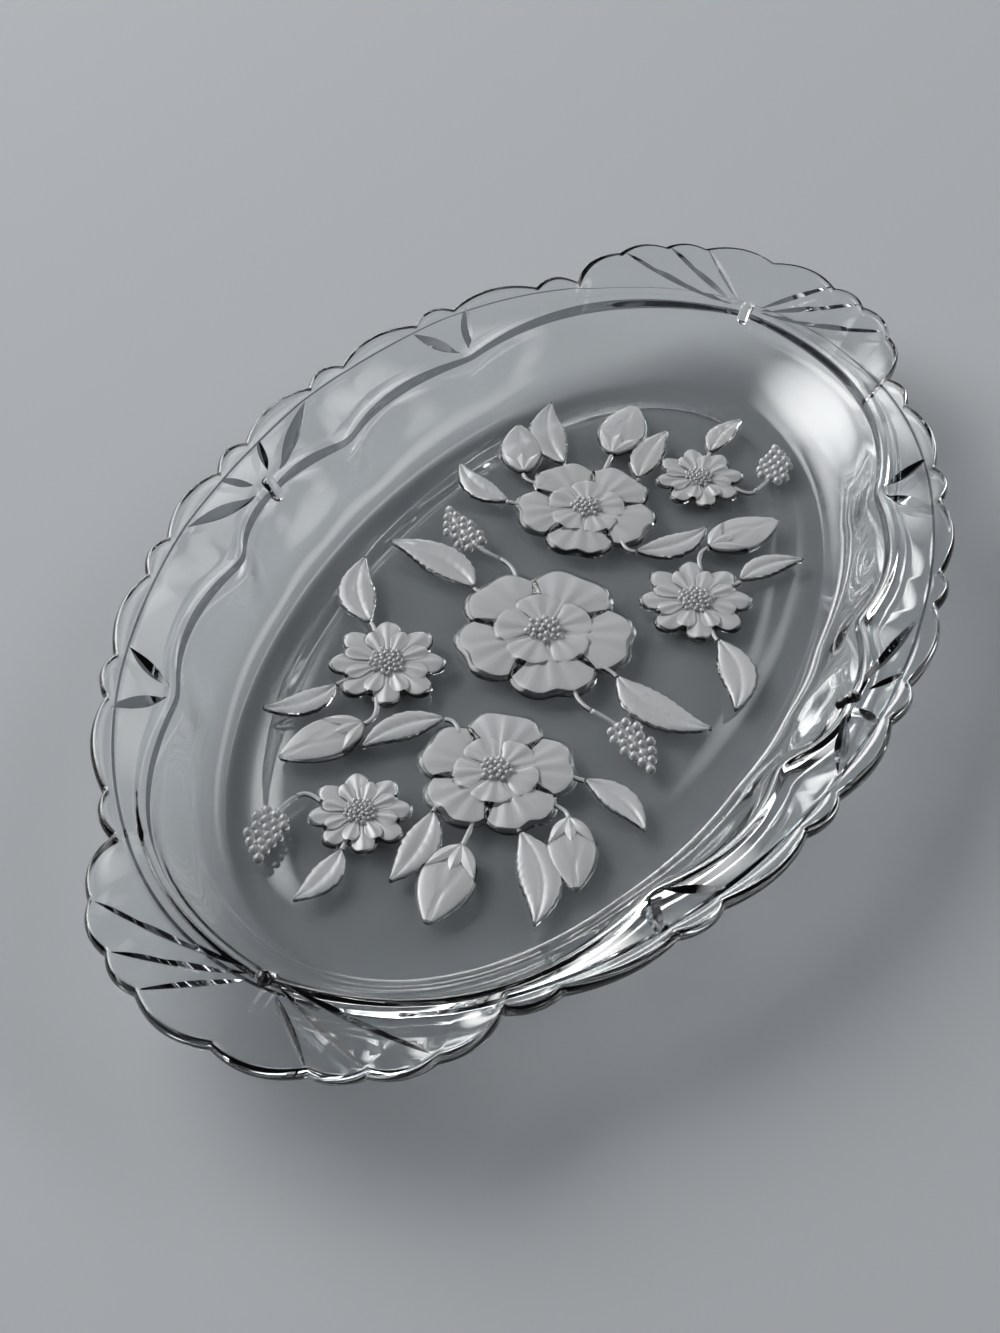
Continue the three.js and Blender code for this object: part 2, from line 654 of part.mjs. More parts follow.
// A sprig of berries: small domes strung on a bent stem.
function berries(x, y, heading, length, bend) {
  const curve = sprayCurve(x, y, heading, length, bend);
  const seats = [[0.4, 1], [0.6, -1], [0.8, 0.9], [0.97, -0.2]];
  const dome = (share) => 0.85 * BLOSSOM_HEIGHT * Math.sqrt(1 - 0.9 * share ** 2);
  const stalk = (grow, top) => rib(curve, () => 1 + grow, top, RIB_STEPS, 2);
  const domes = (grow, top) => seats.map(([u, side]) => {
    const along = curve.getTangent(u);
    const centre = curve.getPoint(u).addScaledVector(new THREE.Vector2(-along.y, along.x), side * BERRY_RADIUS);
    return rosette(centre, 0, 7, top === TALL_FLAT ? 1 : 2, () => BERRY_RADIUS + grow, top);
  });
  const joined = (parts) => parts.reduce((sum, part) => sum.add(part));
  return {
    solid: () => joined([stalk(0, () => STEM_HEIGHT), ...domes(0, dome)]),
    cutter: () => joined([stalk(RELIEF_GAP, TALL_FLAT), ...domes(RELIEF_GAP, TALL_FLAT)]),
  };
}

// Layout of the spray: half of it, in order from the front to the back. The other half is turned half
// a turn about the middle of the well. A piece is cut back where an earlier one covers it.
// Places are shares of the floor's half-axes, lengths and radii shares of the spray's unit.

const SPRAY_ASPECT = 1.8; // the floor's length over its width for which the spray is drawn
const sprayUnit = Math.min(floorOval.x, SPRAY_ASPECT * floorOval.y) / SPRAY_ASPECT;

function sprayHalf(tag, half) {
  const about = half > 0 ? 0 : Math.PI;
  const rosetteAt = (make, x, y, turn, radius) =>
    make(half * x * floorOval.x, half * y * floorOval.y, turn + about, radius * sprayUnit);
  const ribAt = (make, x, y, degrees, length, bend = 0) => {
    const heading = degrees + THREE.MathUtils.radToDeg(about);
    return make(half * x * floorOval.x, half * y * floorOval.y, heading, length * sprayUnit, bend * sprayUnit);
  };
  return [
    [`blossom_${tag}`, rosetteAt(blossom, 0.42, 0.171, 0.3, 0.316)],
    [`daisy_inner_${tag}`, rosetteAt(daisy, 0.254, -0.474, 0.1, 0.237)],
    [`daisy_outer_${tag}`, rosetteAt(daisy, 0.652, -0.184, 0.2, 0.197)],
    [`bud_end_${tag}`, ribAt(bud, 0.63, 0.224, 8, 0.382)],
    [`bud_upper_${tag}`, ribAt(bud, 0.464, 0.513, 30, 0.342)],
    [`bud_lower_${tag}`, ribAt(bud, 0.435, -0.395, -33, 0.368)],
    [`berries_upper_${tag}`, ribAt(berries, 0.167, 0.355, 62, 0.382, 0.039)],
    [`berries_lower_${tag}`, ribAt(berries, 0.674, -0.434, 6, 0.329, -0.039)],
    [`leaf_1_${tag}`, ribAt(leaf, 0.051, 0.368, 80, 0.461, -0.053)],
    [`leaf_2_${tag}`, ribAt(leaf, 0.355, 0.487, 68, 0.329, 0.039)],
    [`leaf_3_${tag}`, ribAt(leaf, 0.543, 0.382, 33, 0.434, 0.053)],
    [`leaf_4_${tag}`, ribAt(leaf, 0.58, 0.053, 2, 0.368, 0.026)],
    [`leaf_5_${tag}`, ribAt(leaf, 0.341, -0.132, -36, 0.355, -0.039)],
    [`leaf_6_${tag}`, ribAt(leaf, 0.362, -0.592, -38, 0.316, 0.039)],
    [`leaf_7_${tag}`, ribAt(leaf, 0.159, -0.645, -148, 0.395, 0.053)],
    [`leaf_8_${tag}`, ribAt(leaf, 0.754, -0.158, -8, 0.289, 0.026)],
  ];
}

const spray = [
  ["blossom_middle", blossom(0, 0, 0.6, 0.382 * sprayUnit)],
  ...sprayHalf("far", 1),
  ...sprayHalf("near", -1),
];

addPiece("well_floor", floorSolid(), clearGlass);
addPiece("well_wall", wall, clearGlass);
for (const [side, solid] of Object.entries(rims)) addPiece(`rim_side_${side}`, solid, clearGlass);
for (const [end, solid] of Object.entries(handles)) addPiece(`handle_${end}`, solid, clearGlass);
for (const [place, solid] of Object.entries(beads)) addPiece(`bead_${place}`, solid, clearGlass);

let covered = null;
for (const [name, motif] of spray) {
  const solid = motif.solid();
  addPiece(name, covered ? solid.subtract(covered) : solid, frostedGlass);
  if (motif.cutter) covered = covered ? covered.add(motif.cutter()) : motif.cutter();
}

export default platter;
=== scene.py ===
# %% [markdown]
# # An oval platter of pressed glass
# The platter is one pressing of clear glass: a flat oval well, a curved wall, a flared rim with a
# scalloped border, and two fan-shaped handle lugs. A floral spray stands in low frosted relief on
# the floor of the well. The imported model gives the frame. Every piece here is made in metres, in
# that frame, and rides on it.

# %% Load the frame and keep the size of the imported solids
import math

import bmesh
import bpy
import numpy as np
from mathutils import Matrix, Vector
from mathutils.bvhtree import BVHTree
from numpy.linalg import lstsq, norm


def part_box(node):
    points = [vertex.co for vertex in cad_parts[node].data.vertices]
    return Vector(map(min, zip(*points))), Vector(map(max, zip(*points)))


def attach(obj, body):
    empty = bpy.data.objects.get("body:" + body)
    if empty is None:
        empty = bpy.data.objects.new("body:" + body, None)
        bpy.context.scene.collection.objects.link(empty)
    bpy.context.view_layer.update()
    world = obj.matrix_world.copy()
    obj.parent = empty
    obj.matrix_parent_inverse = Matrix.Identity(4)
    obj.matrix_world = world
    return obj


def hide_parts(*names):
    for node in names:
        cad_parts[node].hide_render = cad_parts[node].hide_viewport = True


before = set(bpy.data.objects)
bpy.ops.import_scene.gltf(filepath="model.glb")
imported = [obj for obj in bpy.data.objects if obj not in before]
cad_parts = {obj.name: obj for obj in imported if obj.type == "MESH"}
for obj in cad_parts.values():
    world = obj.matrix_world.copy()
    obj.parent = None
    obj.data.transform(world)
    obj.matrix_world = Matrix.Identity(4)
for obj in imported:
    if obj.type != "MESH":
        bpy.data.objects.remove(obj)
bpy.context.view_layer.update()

# %% [markdown]
# ## Sizes
# A mould maker starts from a few sizes and works the rest out from them, and so does this script.
# All of them could be typed in, but the size of the floor and the height of the swagged edge are
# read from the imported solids, so that the glass always fits its frame. The others are the platter's
# own driving sizes, in metres.

# %% Driving sizes
MM = 0.001
FLOOR_X, FLOOR_Y, FLOOR_TOP = (float(v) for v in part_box("well_floor")[1])
EDGE_Z = float(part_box("well_wall")[1][2])
OVAL = np.array([168.0, 112.0]) * MM
FLOOR = np.array([FLOOR_X, FLOOR_Y])
RIM_Z = 35.0 * MM
HANDLE_Z = 31.5 * MM
EDGE_THICKNESS = 7.5 * MM
RIM_THICKNESS = 5.0 * MM
NOSE = 1.8 * MM
CREASE_INSET = 3.6 * MM
CREASE_STEP = 0.6 * MM
FOOT_WIDTH = 8.0 * MM
FOOT_HEIGHT = 1.2 * MM
print("floor half-axes", FLOOR, "floor top", FLOOR_TOP, "edge", EDGE_Z)

# %% [markdown]
# ## The outline
# The border of the platter is a row of shallow arches, small and large in turn, that meet in cusps
# on an oval. A handle is a fan: its cusps lie on a second, smaller curve, where rays from the bead
# meet it. The outline could be drawn by hand as a curve. It is worked out from the oval instead, so
# that the rhythm of the arches stays even. One quarter is enough, because the glass is the same on
# both sides of its two middle planes.

# %% Cusps of one quarter, from the middle of a long side to the tip of a handle
SCALLOP_SHARE = 0.711
LARGE_TO_SMALL = 2.125
PAIRS = 3
HANDLE_HALF_WIDTH = 60.0 * MM
HANDLE_PROJECTION = 19.0 * MM
HANDLE_SETBACK = 28.0 * MM
FAN_ANGLES = np.radians([85.0, 67.0, 48.0])
SWAG_CUSPS = np.array([[0.0, 0.862], [0.19, 0.781], [0.536, 0.656], [0.955, 0.0]]) * OVAL


def oval_point(share):
    """Point on the oval at a share of a quarter's length, from the middle of the long side."""
    angles = np.linspace(math.pi / 2, 0, 4001)
    runs = np.hypot(OVAL[0] * np.sin(angles), OVAL[1] * np.cos(angles))
    length = np.concatenate([[0], np.cumsum((runs[1:] + runs[:-1]) / 2)])
    angle = np.interp(share * length[-1], length, angles)
    return np.array([OVAL[0] * math.cos(angle), OVAL[1] * math.sin(angle)])


def handle_cusp(angle):
    """Where a ray of the fan meets the curve of the handle lug."""
    ray = np.array([math.cos(angle), math.sin(angle)])
    reach = np.array([HANDLE_SETBACK + HANDLE_PROJECTION, HANDLE_HALF_WIDTH])
    start = np.array([SWAG_CUSPS[3][0] - (OVAL[0] - HANDLE_SETBACK), 0.0]) / reach
    step = ray / reach
    a, b, c = step @ step, 2 * start @ step, start @ start - 1
    return SWAG_CUSPS[3] + ray * (-b + math.sqrt(b * b - 4 * a * c)) / (2 * a)


small = SCALLOP_SHARE / (0.5 + PAIRS * (1 + LARGE_TO_SMALL))
shares = [small / 2]
for _ in range(PAIRS):
    shares += [shares[-1] + small * LARGE_TO_SMALL, shares[-1] + small * (LARGE_TO_SMALL + 1)]
side_cusps = [oval_point(share) for share in shares]
tip = np.array([OVAL[0] + HANDLE_PROJECTION, 0.0])
lug_cusps = [side_cusps[-1], *(handle_cusp(angle) for angle in FAN_ANGLES), tip]
print("cusps of a quarter:", len(side_cusps), "on the side,", len(lug_cusps), "on the handle")

# %% Arches between the cusps
SMALL_RISE = 2.6 * MM
LARGE_RISE = 3.6 * MM
HANDLE_RISE_SHARE = 0.15
STEPS_SMALL, STEPS_LARGE, STEPS_HANDLE = 18, 36, (28, 20, 18, 32)


def arch(start, end, rise, share):
    """Points of a shallow arch over the chord between two cusps."""
    chord = end - start
    outward = np.array([-chord[1], chord[0]]) / norm(chord)
    return start + np.outer(share, chord) + np.outer(4 * rise * share * (1 - share), outward)


lobes = [(side_cusps[0] * [-1, 1], side_cusps[0], SMALL_RISE, np.linspace(0.5, 1, STEPS_SMALL // 2 + 1))]
for i in range(1, len(side_cusps)):
    rise, steps = ((LARGE_RISE, STEPS_LARGE), (SMALL_RISE, STEPS_SMALL))[(i + 1) % 2]
    lobes.append((side_cusps[i - 1], side_cusps[i], rise, np.linspace(0, 1, steps + 1)))
for i, steps in enumerate(STEPS_HANDLE):
    rise = HANDLE_RISE_SHARE * norm(lug_cusps[i + 1] - lug_cusps[i])
    lobes.append((lug_cusps[i], lug_cusps[i + 1], rise, np.linspace(0, 1, steps + 1)))

quarter_outer = np.vstack([arch(*lobe)[min(n, 1):] for n, lobe in enumerate(lobes)])
quarter_lobe = np.concatenate([np.sin(math.pi * lobe[3])[min(n, 1):] for n, lobe in enumerate(lobes)])
print("quarter border:", len(quarter_outer), "points,", len(lobes), "scallops")

# %% [markdown]
# ## The swags and the stations
# The top of the wall is drawn into swags: arches that bulge outwards between cusps. A plain bowl could
# be pushed into this shape by sculpting. Here every point of the border gets a station, an upright
# section through the glass, with its own point on the swagged edge and on the edge of the floor. All
# later shapes are measured along these stations, so the skin needs no stitching.

# %% Swags and stations of one quarter
SWAG_BULGES = (0.105, 0.117, 0.182)
SWAG_LIP = 3.0 * MM
LIP_AT_CUSP = 0.35
SECOND_CUSP_SHARE = 0.8


def oval_angle(axes, points):
    """Angles of points round an oval."""
    return np.arctan2(points[:, 1] / axes[1], points[:, 0] / axes[0])


def swag_point(swag, share):
    """Points of a swag at shares of its way."""
    start, end = SWAG_CUSPS[swag], SWAG_CUSPS[swag + 1]
    return arch(start, end, SWAG_BULGES[swag] * norm(end - start), share)


angles = oval_angle(OVAL, quarter_outer)
half_small = STEPS_SMALL // 2
second_cusp = half_small + round(STEPS_LARGE * SECOND_CUSP_SHARE)
third_cusp = 4 * half_small + 2 * STEPS_LARGE
ends = [0, second_cusp, third_cusp, len(angles) - 1]
quarter_edge = np.zeros_like(quarter_outer)
quarter_lip = np.zeros(len(angles))
for swag in range(3):
    run = slice(ends[swag], ends[swag + 1] + 1)
    share = (angles[run] - angles[ends[swag]]) / (angles[ends[swag + 1]] - angles[ends[swag]])
    quarter_edge[run] = swag_point(swag, share)
    quarter_lip[run] = SWAG_LIP * (LIP_AT_CUSP + (1 - LIP_AT_CUSP) * np.sin(math.pi * share))

edge_angles = oval_angle(np.array([SWAG_CUSPS[3][0], SWAG_CUSPS[0][1]]), quarter_edge)
quarter_floor = np.column_stack([np.cos(edge_angles), np.sin(edge_angles)]) * FLOOR
quarter_top = HANDLE_Z + (RIM_Z - HANDLE_Z) * np.sin(angles) ** 2
print("stations of a quarter:", len(quarter_edge))

# %% Stations all round
CUSP_BLUR = 3.5
EVEN_SHARE = 0.985


def all_round(values, mirrored):
    """A quarter's values carried round the platter, anticlockwise from the tip of the +X handle."""
    flips = ((1, 1), (-1, 1), (-1, -1), (1, -1))
    parts = []
    for n, flip in enumerate(flips):
        part = values[::-1][:-1] if n % 2 == 0 else values[:-1]
        parts.append(part * np.array(flip) if mirrored else part)
    return np.concatenate(parts)


outer, edge, floor = (all_round(v, True) for v in (quarter_outer, quarter_edge, quarter_floor))
top_z, lip, lobe = (all_round(v, False) for v in (quarter_top, quarter_lip, quarter_lobe))


def blurred(values, stations):
    """Values evened out round the platter over a number of stations."""
    count = len(values)
    apart = np.minimum(np.arange(count), count - np.arange(count))
    weights = np.exp(-0.5 * (apart / stations) ** 2)
    weights = np.fft.fft(weights / weights.sum())
    return np.real(np.fft.ifft(np.fft.fft(values, axis=0) * weights[:, None], axis=0))


edge = blurred(edge, CUSP_BLUR)
lip = blurred(lip[:, None], CUSP_BLUR)[:, 0]
even_axes = EVEN_SHARE / np.sqrt(lstsq(edge**2, np.ones(len(edge)), rcond=None)[0])
even_angles = oval_angle(even_axes, edge)
even_edge = np.column_stack([np.cos(even_angles), np.sin(even_angles)]) * even_axes
rim_width = norm(outer - edge, axis=1)
print("stations:", len(outer), "border reach", outer.max(axis=0))
print("rim width from", rim_width.min(), "to", rim_width.max())

# %% [markdown]
# ## Cuts in the rim
# The leaf sprigs and the rays of the fans are mitred cuts: two slopes that meet in a keel, deepest in
# the middle and pointed at both ends. They could be bump in the material, but the rim would then stay
# smooth from the side, so they are real cuts. First come their lines in plan. Two leaves spread from
# each of the four outer cusps, four from the cusp in the middle of each long side, and the rays run
# from the bead to the handle's cusps.

# %% Lines of the leaf cuts and rays
LEAF_DEPTH = 1.8 * MM
RAY_DEPTH = 1.1 * MM
RAY_WIDTH = 2.2 * MM
RAY_START = 5.0 * MM
RAY_MARGIN = 1.6 * MM
LEAF_TAPER, RAY_TAPER = 1.0, 0.55
TWO_LEAF = dict(length=0.77, width=0.19, start=0.14, spread=37)
FOUR_LEAF_LONG = dict(length=1.62, width=0.22, start=0.39, spread=76)
FOUR_LEAF_SHORT = dict(length=0.60, width=0.16, start=0.33, spread=43)


def leaf_pair(cusp, across, leaf):
    """Two cuts that spread to both sides of the way across the rim at a cusp."""
    pair = []
    for side in (-1, 1):
        turn = math.radians(side * leaf["spread"])
        rotation = np.array([[math.cos(turn), -math.sin(turn)], [math.sin(turn), math.cos(turn)]])
        heading = rotation @ across
        start = cusp + heading * leaf["start"]
        width = leaf["width"] * norm(across)
        pair.append((start, start + heading * leaf["length"], width, LEAF_DEPTH, LEAF_TAPER))
    return pair


cuts = []
for flip in ((1, 1), (1, -1), (-1, 1), (-1, -1)):
    across = (quarter_outer[third_cusp] - quarter_edge[third_cusp]) * flip
    cuts += leaf_pair(quarter_edge[third_cusp] * flip, across, TWO_LEAF)
    if flip[0] > 0:
        across = (quarter_outer[0] - quarter_edge[0]) * flip
        cuts += leaf_pair(quarter_edge[0] * flip, across, FOUR_LEAF_LONG)
        cuts += leaf_pair(quarter_edge[0] * flip, across, FOUR_LEAF_SHORT)
    for cusp in lug_cusps[1:4]:
        ray = (cusp - SWAG_CUSPS[3]) / norm(cusp - SWAG_CUSPS[3])
        start = (SWAG_CUSPS[3] + ray * RAY_START) * flip
        cuts.append((start, (cusp - ray * RAY_MARGIN) * flip, RAY_WIDTH, RAY_DEPTH, RAY_TAPER))
print("cuts:", len(cuts))

# %% [markdown]
# ## The glass
# The pressing is one closed skin. A bowl could be turned on a lathe, but neither the scallops nor the
# swags are round. So rings of points follow each other along every station: up the wall, over the lip
# of the swagged edge, across the rim, round the nose of the border, and back underneath to the foot.
# The rings are dense where the cuts lie and sparse where the glass is plain.

# %% Heights along a station
RIDGE = 0.55 * MM
RIDGE_RUN = 3.0 * MM
BORDER_CROWN = 0.6 * MM
QUIRK_RUN = 2.6 * MM
CREASE_RUN = 0.8 * MM
FLARE_BLUR = 20
FLARE_SPARE = 1.6 * MM
SWAG_FROM = 0.55
SWAG_LIP_RUN = 1.2 * MM
CROWN_AT_CUSP = 0.25
WALL_CURVE, UNDER_CURVE = 1.75, 1.6
CREASE = OVAL - CREASE_INSET
nose_share = 1 - NOSE / rim_width
wall_width = norm(edge - floor, axis=1)
lip_share = 1 - SWAG_LIP_RUN / wall_width
flare = rim_width / (norm(blurred(outer, FLARE_BLUR) - edge, axis=1) + FLARE_SPARE)


def column(values):
    """One value for each station, as a column."""
    return np.broadcast_to(values, top_z.shape)[:, None]


def rim_ring(share, z):
    """A ring of points at a share of the way across the rim, at a height."""
    return np.hstack([edge + (outer - edge) * column(share), column(z)])


def smooth(x):
    """A soft step from 0 to 1."""
    x = np.clip(x, 0, 1)
    return x * x * (3 - 2 * x)


def wall_ring(share, z):
    """A ring of the wall: an even oval below, drawn into the swags near its top."""
    drawn = smooth((column(share) - SWAG_FROM) / (1 - SWAG_FROM))
    plan = floor + (even_edge - floor) * column(share) + (edge - even_edge) * drawn
    return np.hstack([plan, column(z)])


def rim_top(share):
    """Upper face of the rim at a share of the way from the swagged edge to the border."""
    plan = edge + (outer - edge) * column(share)
    from_edge = share * rim_width
    beyond = (np.hypot(plan[:, 0] / CREASE[0], plan[:, 1] / CREASE[1]) - 1) * CREASE.mean()
    z = EDGE_Z + (top_z - EDGE_Z) * share * flare
    z = z + RIDGE * np.sin(math.pi * np.clip(from_edge / RIDGE_RUN, 0, 1))
    z = z - CREASE_STEP * smooth(beyond / CREASE_RUN + 0.5)
    band = np.clip(beyond / np.maximum((1 - share) * rim_width + beyond, 1e-9), 0, 1)
    z = z + BORDER_CROWN * np.sin(math.pi * band) * (CROWN_AT_CUSP + (1 - CROWN_AT_CUSP) * lobe)
    return z


def rim_under(share):
    """Lower face of the rim: the glass thins from the swagged edge to the border."""
    thickness = RIM_THICKNESS + (EDGE_THICKNESS - RIM_THICKNESS) * (1 - share) ** 2
    return EDGE_Z + (top_z - EDGE_Z) * share * flare - thickness


def wall_top(share):
    """Upper face of the wall, up to the foot of the lip."""
    return FLOOR_TOP + (EDGE_Z - lip - FLOOR_TOP) * np.clip(share / lip_share, 0, 1) ** WALL_CURVE


print("wall width from", wall_width.min(), "to", wall_width.max())

# %% Rings of the upper face
QUIRK = ((1.9, 0.30), (1.4, 0.55), (1.0, 0.50))
LIP = ((0.75, 0.15), (0.5, 0.5), (0.3, 0.82), (0.0, 1.05))
WALL_SHARES = 1 - (1 - np.linspace(0, 1, 14)) ** 1.2
RIM_SHARES = np.concatenate([np.linspace(0, 0.25, 6)[1:], np.linspace(0.25, 1, 11)[1:]])
BORDER_SHARES = np.linspace(0, 1, 11)
rings = []
quirk_share = 1 - QUIRK_RUN / wall_width
for s in WALL_SHARES:
    rings.append(wall_ring(s * quirk_share, wall_top(s * quirk_share)))
LEDGE_START = len(rings) + len(QUIRK) - 1
for run, deep in QUIRK:
    share = 1 - run * MM / wall_width
    rings.append(wall_ring(share, wall_top(share) - deep * MM))
for run, rise in LIP:
    rings.append(wall_ring(1 - run * MM / wall_width, EDGE_Z - lip * (1 - rise)))
LEDGE_END = len(rings) - 1
start, way = edge / CREASE, (outer - edge) / CREASE
a, b, c = (way**2).sum(axis=1), 2 * (start * way).sum(axis=1), (start**2).sum(axis=1) - 1
crease_share = (np.sqrt(b**2 - 4 * a * c) - b) / (2 * a)
step_share = CREASE_RUN / 2 / rim_width
for s in RIM_SHARES:
    share = s * (crease_share - step_share)
    rings.append(rim_ring(share, rim_top(share)))
CREASE_RING = len(rings) - 1
for s in BORDER_SHARES:
    share = crease_share + step_share + s * (nose_share - crease_share - step_share)
    rings.append(rim_ring(share, rim_top(share)))
print("rings of the upper face:", len(rings))

# %% Rings of the border, the lower face and the foot
NOSE_TURNS = np.radians(np.linspace(75, -75, 9))
RIM_UNDER_SHARES = (1.0, 0.75, 0.5, 0.3, 0.14, 0.05)
WALL_UNDER_SHARES = (1.0, 0.95, 0.87, 0.75, 0.6, 0.45, 0.3, 0.16, 0.06, 0.0)
FOOT_SLOPE = ((0.80, 0.0), (1.0, 0.05), (1.25, 0.24), (1.5, 0.52), (1.75, 0.80), (2.0, 0.97), (2.2, 1.0))
nose_top = rings[-1][:, 2]
nose_bottom = rim_under(nose_share)
for turn in NOSE_TURNS:
    z = (nose_top + nose_bottom) / 2 + (nose_top - nose_bottom) / 2 * math.sin(turn)
    rings.append(rim_ring(nose_share + (1 - nose_share) * math.cos(turn), z))
for s in RIM_UNDER_SHARES:
    rings.append(rim_ring(s * nose_share, rim_under(s * nose_share)))
for s in WALL_UNDER_SHARES:
    rings.append(wall_ring(s, (EDGE_Z - EDGE_THICKNESS) * s**UNDER_CURVE))
for inset, z in FOOT_SLOPE:
    share = 1 - inset * FOOT_WIDTH / FLOOR
    rings.append(np.hstack([floor * share, column(z * FOOT_HEIGHT)]))
skin = np.array(rings)
print("rings:", len(rings), "points:", skin.shape[0] * skin.shape[1])

# %% [markdown]
# ## Finishes of one glass
# Clear glass is nearly smooth, with the faint waves that pressing leaves. Frosted glass is the same
# glass with a fine etched grain, so it scatters light and reads pale grey. The polished cuts, the ledge
# under the swags and the crease get a near-black tint. This is painted shade for the dark lines that
# the glass draws there by bending the view out to the darker room. Berries and seeds are slightly
# milky, as fire-polished points are. Painted images could give all this, but they would need
# unwrapping, so the four finishes are worked out from noise on Object coordinates.


# %% Helpers for nodes
def plug(tree, node, links):
    """Feed inputs of a node, each from a socket, from a node's first output or with a plain value."""
    for key, source in links.items():
        if isinstance(source, bpy.types.Node):
            source = source.outputs[0]
        if isinstance(source, bpy.types.NodeSocket):
            tree.links.new(source, node.inputs[key])
        else:
            node.inputs[key].default_value = source


def add(tree, kind, links=None, **settings):
    """A new node with its settings made and its inputs fed."""
    node = tree.nodes.new(kind)
    for key, value in settings.items():
        setattr(node, key, value)
    plug(tree, node, links or {})
    return node


def maths(tree, operation, a, b=0.0):
    """A Math node."""
    return add(tree, "ShaderNodeMath", {0: a, 1: b}, operation=operation)


print("helpers:", [helper.__name__ for helper in (plug, add, maths)])

# %% Clear, frosted, cut and pearl glass
GLASS_IOR = 1.52
CLOUD_SCALE, CLOUD_DETAIL = 45.0, 3.0
WAVES, ETCHING, GRAIN_DETAIL = 60.0, 2600.0, 2.0
BUMP_DEPTH = 0.4 * MM
COAT_ROUGHNESS = 0.1


def glass_material(name, tint, roughness, transmission, grain, grain_strength, coat=0.0):
    """A glass finish: a cloudy tint and roughness, a grain in bump, and a polished coat over it."""
    material = bpy.data.materials.new(name)
    material.use_nodes = True
    tree = material.node_tree
    place = add(tree, "ShaderNodeTexCoord").outputs["Object"]
    links = {"Vector": place, "Scale": CLOUD_SCALE, "Detail": CLOUD_DETAIL}
    cloud = add(tree, "ShaderNodeTexNoise", links).outputs["Fac"]
    ramp = add(tree, "ShaderNodeValToRGB", {"Fac": cloud})
    for stop, colour in zip(ramp.color_ramp.elements, tint):
        stop.color = (*colour, 1.0)
    links = {"Value": cloud, "To Min": roughness[0], "To Max": roughness[1]}
    spread = add(tree, "ShaderNodeMapRange", links)
    links = {"Vector": place, "Scale": grain, "Detail": GRAIN_DETAIL}
    texture = add(tree, "ShaderNodeTexNoise", links)
    links = {"Height": texture.outputs["Fac"], "Strength": grain_strength, "Distance": BUMP_DEPTH}
    bump = add(tree, "ShaderNodeBump", links)
    links = {"Base Color": ramp.outputs["Color"], "Roughness": spread.outputs["Result"]}
    links.update({"Normal": bump.outputs["Normal"], "IOR": GLASS_IOR})
    links.update({"Transmission Weight": transmission, "Coat Weight": coat})
    links["Coat Roughness"] = COAT_ROUGHNESS
    plug(tree, tree.nodes["Principled BSDF"], links)
    return material


clear_tint = ((0.915, 0.935, 0.94), (0.955, 0.97, 0.97))
frost_tint = ((0.84, 0.86, 0.87), (0.93, 0.94, 0.95))
# Near-black tint: painted shade for the dark lines in the cuts, the swag ledge and the crease.
painted_shade_tint = ((0.08, 0.09, 0.10), (0.16, 0.175, 0.19))
pearl_tint = ((0.84, 0.86, 0.87), (0.92, 0.93, 0.94))
CLEAR = glass_material("clear_pressing", clear_tint, (0.0, 0.03), 1.0, WAVES, 0.025)
FROST = glass_material("satin_frost", frost_tint, (0.24, 0.34), 0.5, ETCHING, 0.2, coat=0.5)
PAINTED_SHADE_GLASS = glass_material("painted_shade_cut", painted_shade_tint, (0.0, 0.03), 1.0, WAVES, 0.02)
PEARL = glass_material("pearl_bead", pearl_tint, (0.03, 0.08), 0.65, WAVES, 0.05, coat=1.0)
print("materials:", [material.name for material in (CLEAR, FROST, PAINTED_SHADE_GLASS, PEARL)])

# %% [markdown]
# ## From points to a mesh
# In the mould, glass fills the space between two surfaces. A Solidify modifier could thicken one of
# them, but this glass is thicker at the swagged edge than at the border, so both are made.
# Neighbouring rings are joined by four-sided faces, and the flat floor of the well and the flat hollow
# under it close the skin. Smooth shading lets the glass bend light evenly.


# %% Make the glass body
def placed(name, data):
    """A new object in the scene."""
    item = bpy.data.objects.new(name, data)
    bpy.context.scene.collection.objects.link(item)
    return item


def mesh_object(name, vertices, faces):
    """A smooth object of clear glass, with the near-black glass of painted shade in its second slot."""
    mesh = bpy.data.meshes.new(name)
    mesh.from_pydata([tuple(v) for v in vertices], [], faces)
    mesh.validate()
    mesh.shade_smooth()
    mesh.materials.append(CLEAR)
    mesh.materials.append(PAINTED_SHADE_GLASS)
    return placed(name, mesh)


ring_count, station_count = skin.shape[:2]
faces = [tuple(range(station_count))]
for r in range(ring_count - 1):
    a, b = r * station_count, (r + 1) * station_count
    for i in range(station_count):
        j = (i + 1) % station_count
        faces.append((a + i, b + i, b + j, a + j))
faces.append(tuple((ring_count - 1) * station_count + i for i in reversed(range(station_count))))
glass = mesh_object("platter_glass", skin.reshape(-1, 3), faces)
for polygon in glass.data.polygons:
    row = (polygon.index - 1) // station_count
    # The ledge under the swags and the crease ring take the near-black glass: painted shade for the dark swag
    # line and crease.
    polygon.material_index = int(LEDGE_START <= row < LEDGE_END or row == CREASE_RING)
print("glass faces:", len(glass.data.polygons))

# %% [markdown]
# ## The cutters
# A glass cutter holds the rim against a wheel with a V-shaped edge. The rim's own points could be
# pushed down along each line, but then the edges of a cut would be ragged. So each line gets a pointed
# prism: its keel lies below the surface and its flanks leave the glass at the width of the cut. It
# follows an even fit of the glass under it, so that a cut in a curved rim is evenly deep.


# %% Cutters
def gathered(shapes):
    """The points and faces of several shapes, as one list of each."""
    points, faces = [], []
    for more_points, more_faces in shapes:
        faces += [tuple(v + len(points) for v in face) for face in more_faces]
        points += more_points
    return points, faces


def surface_height(plan):
    """Height of the glass above a point in plan."""
    hit = surface.ray_cast(Vector((*plan, 0.1)), Vector((0, 0, -1)))[0]
    return hit.z if hit else EDGE_Z


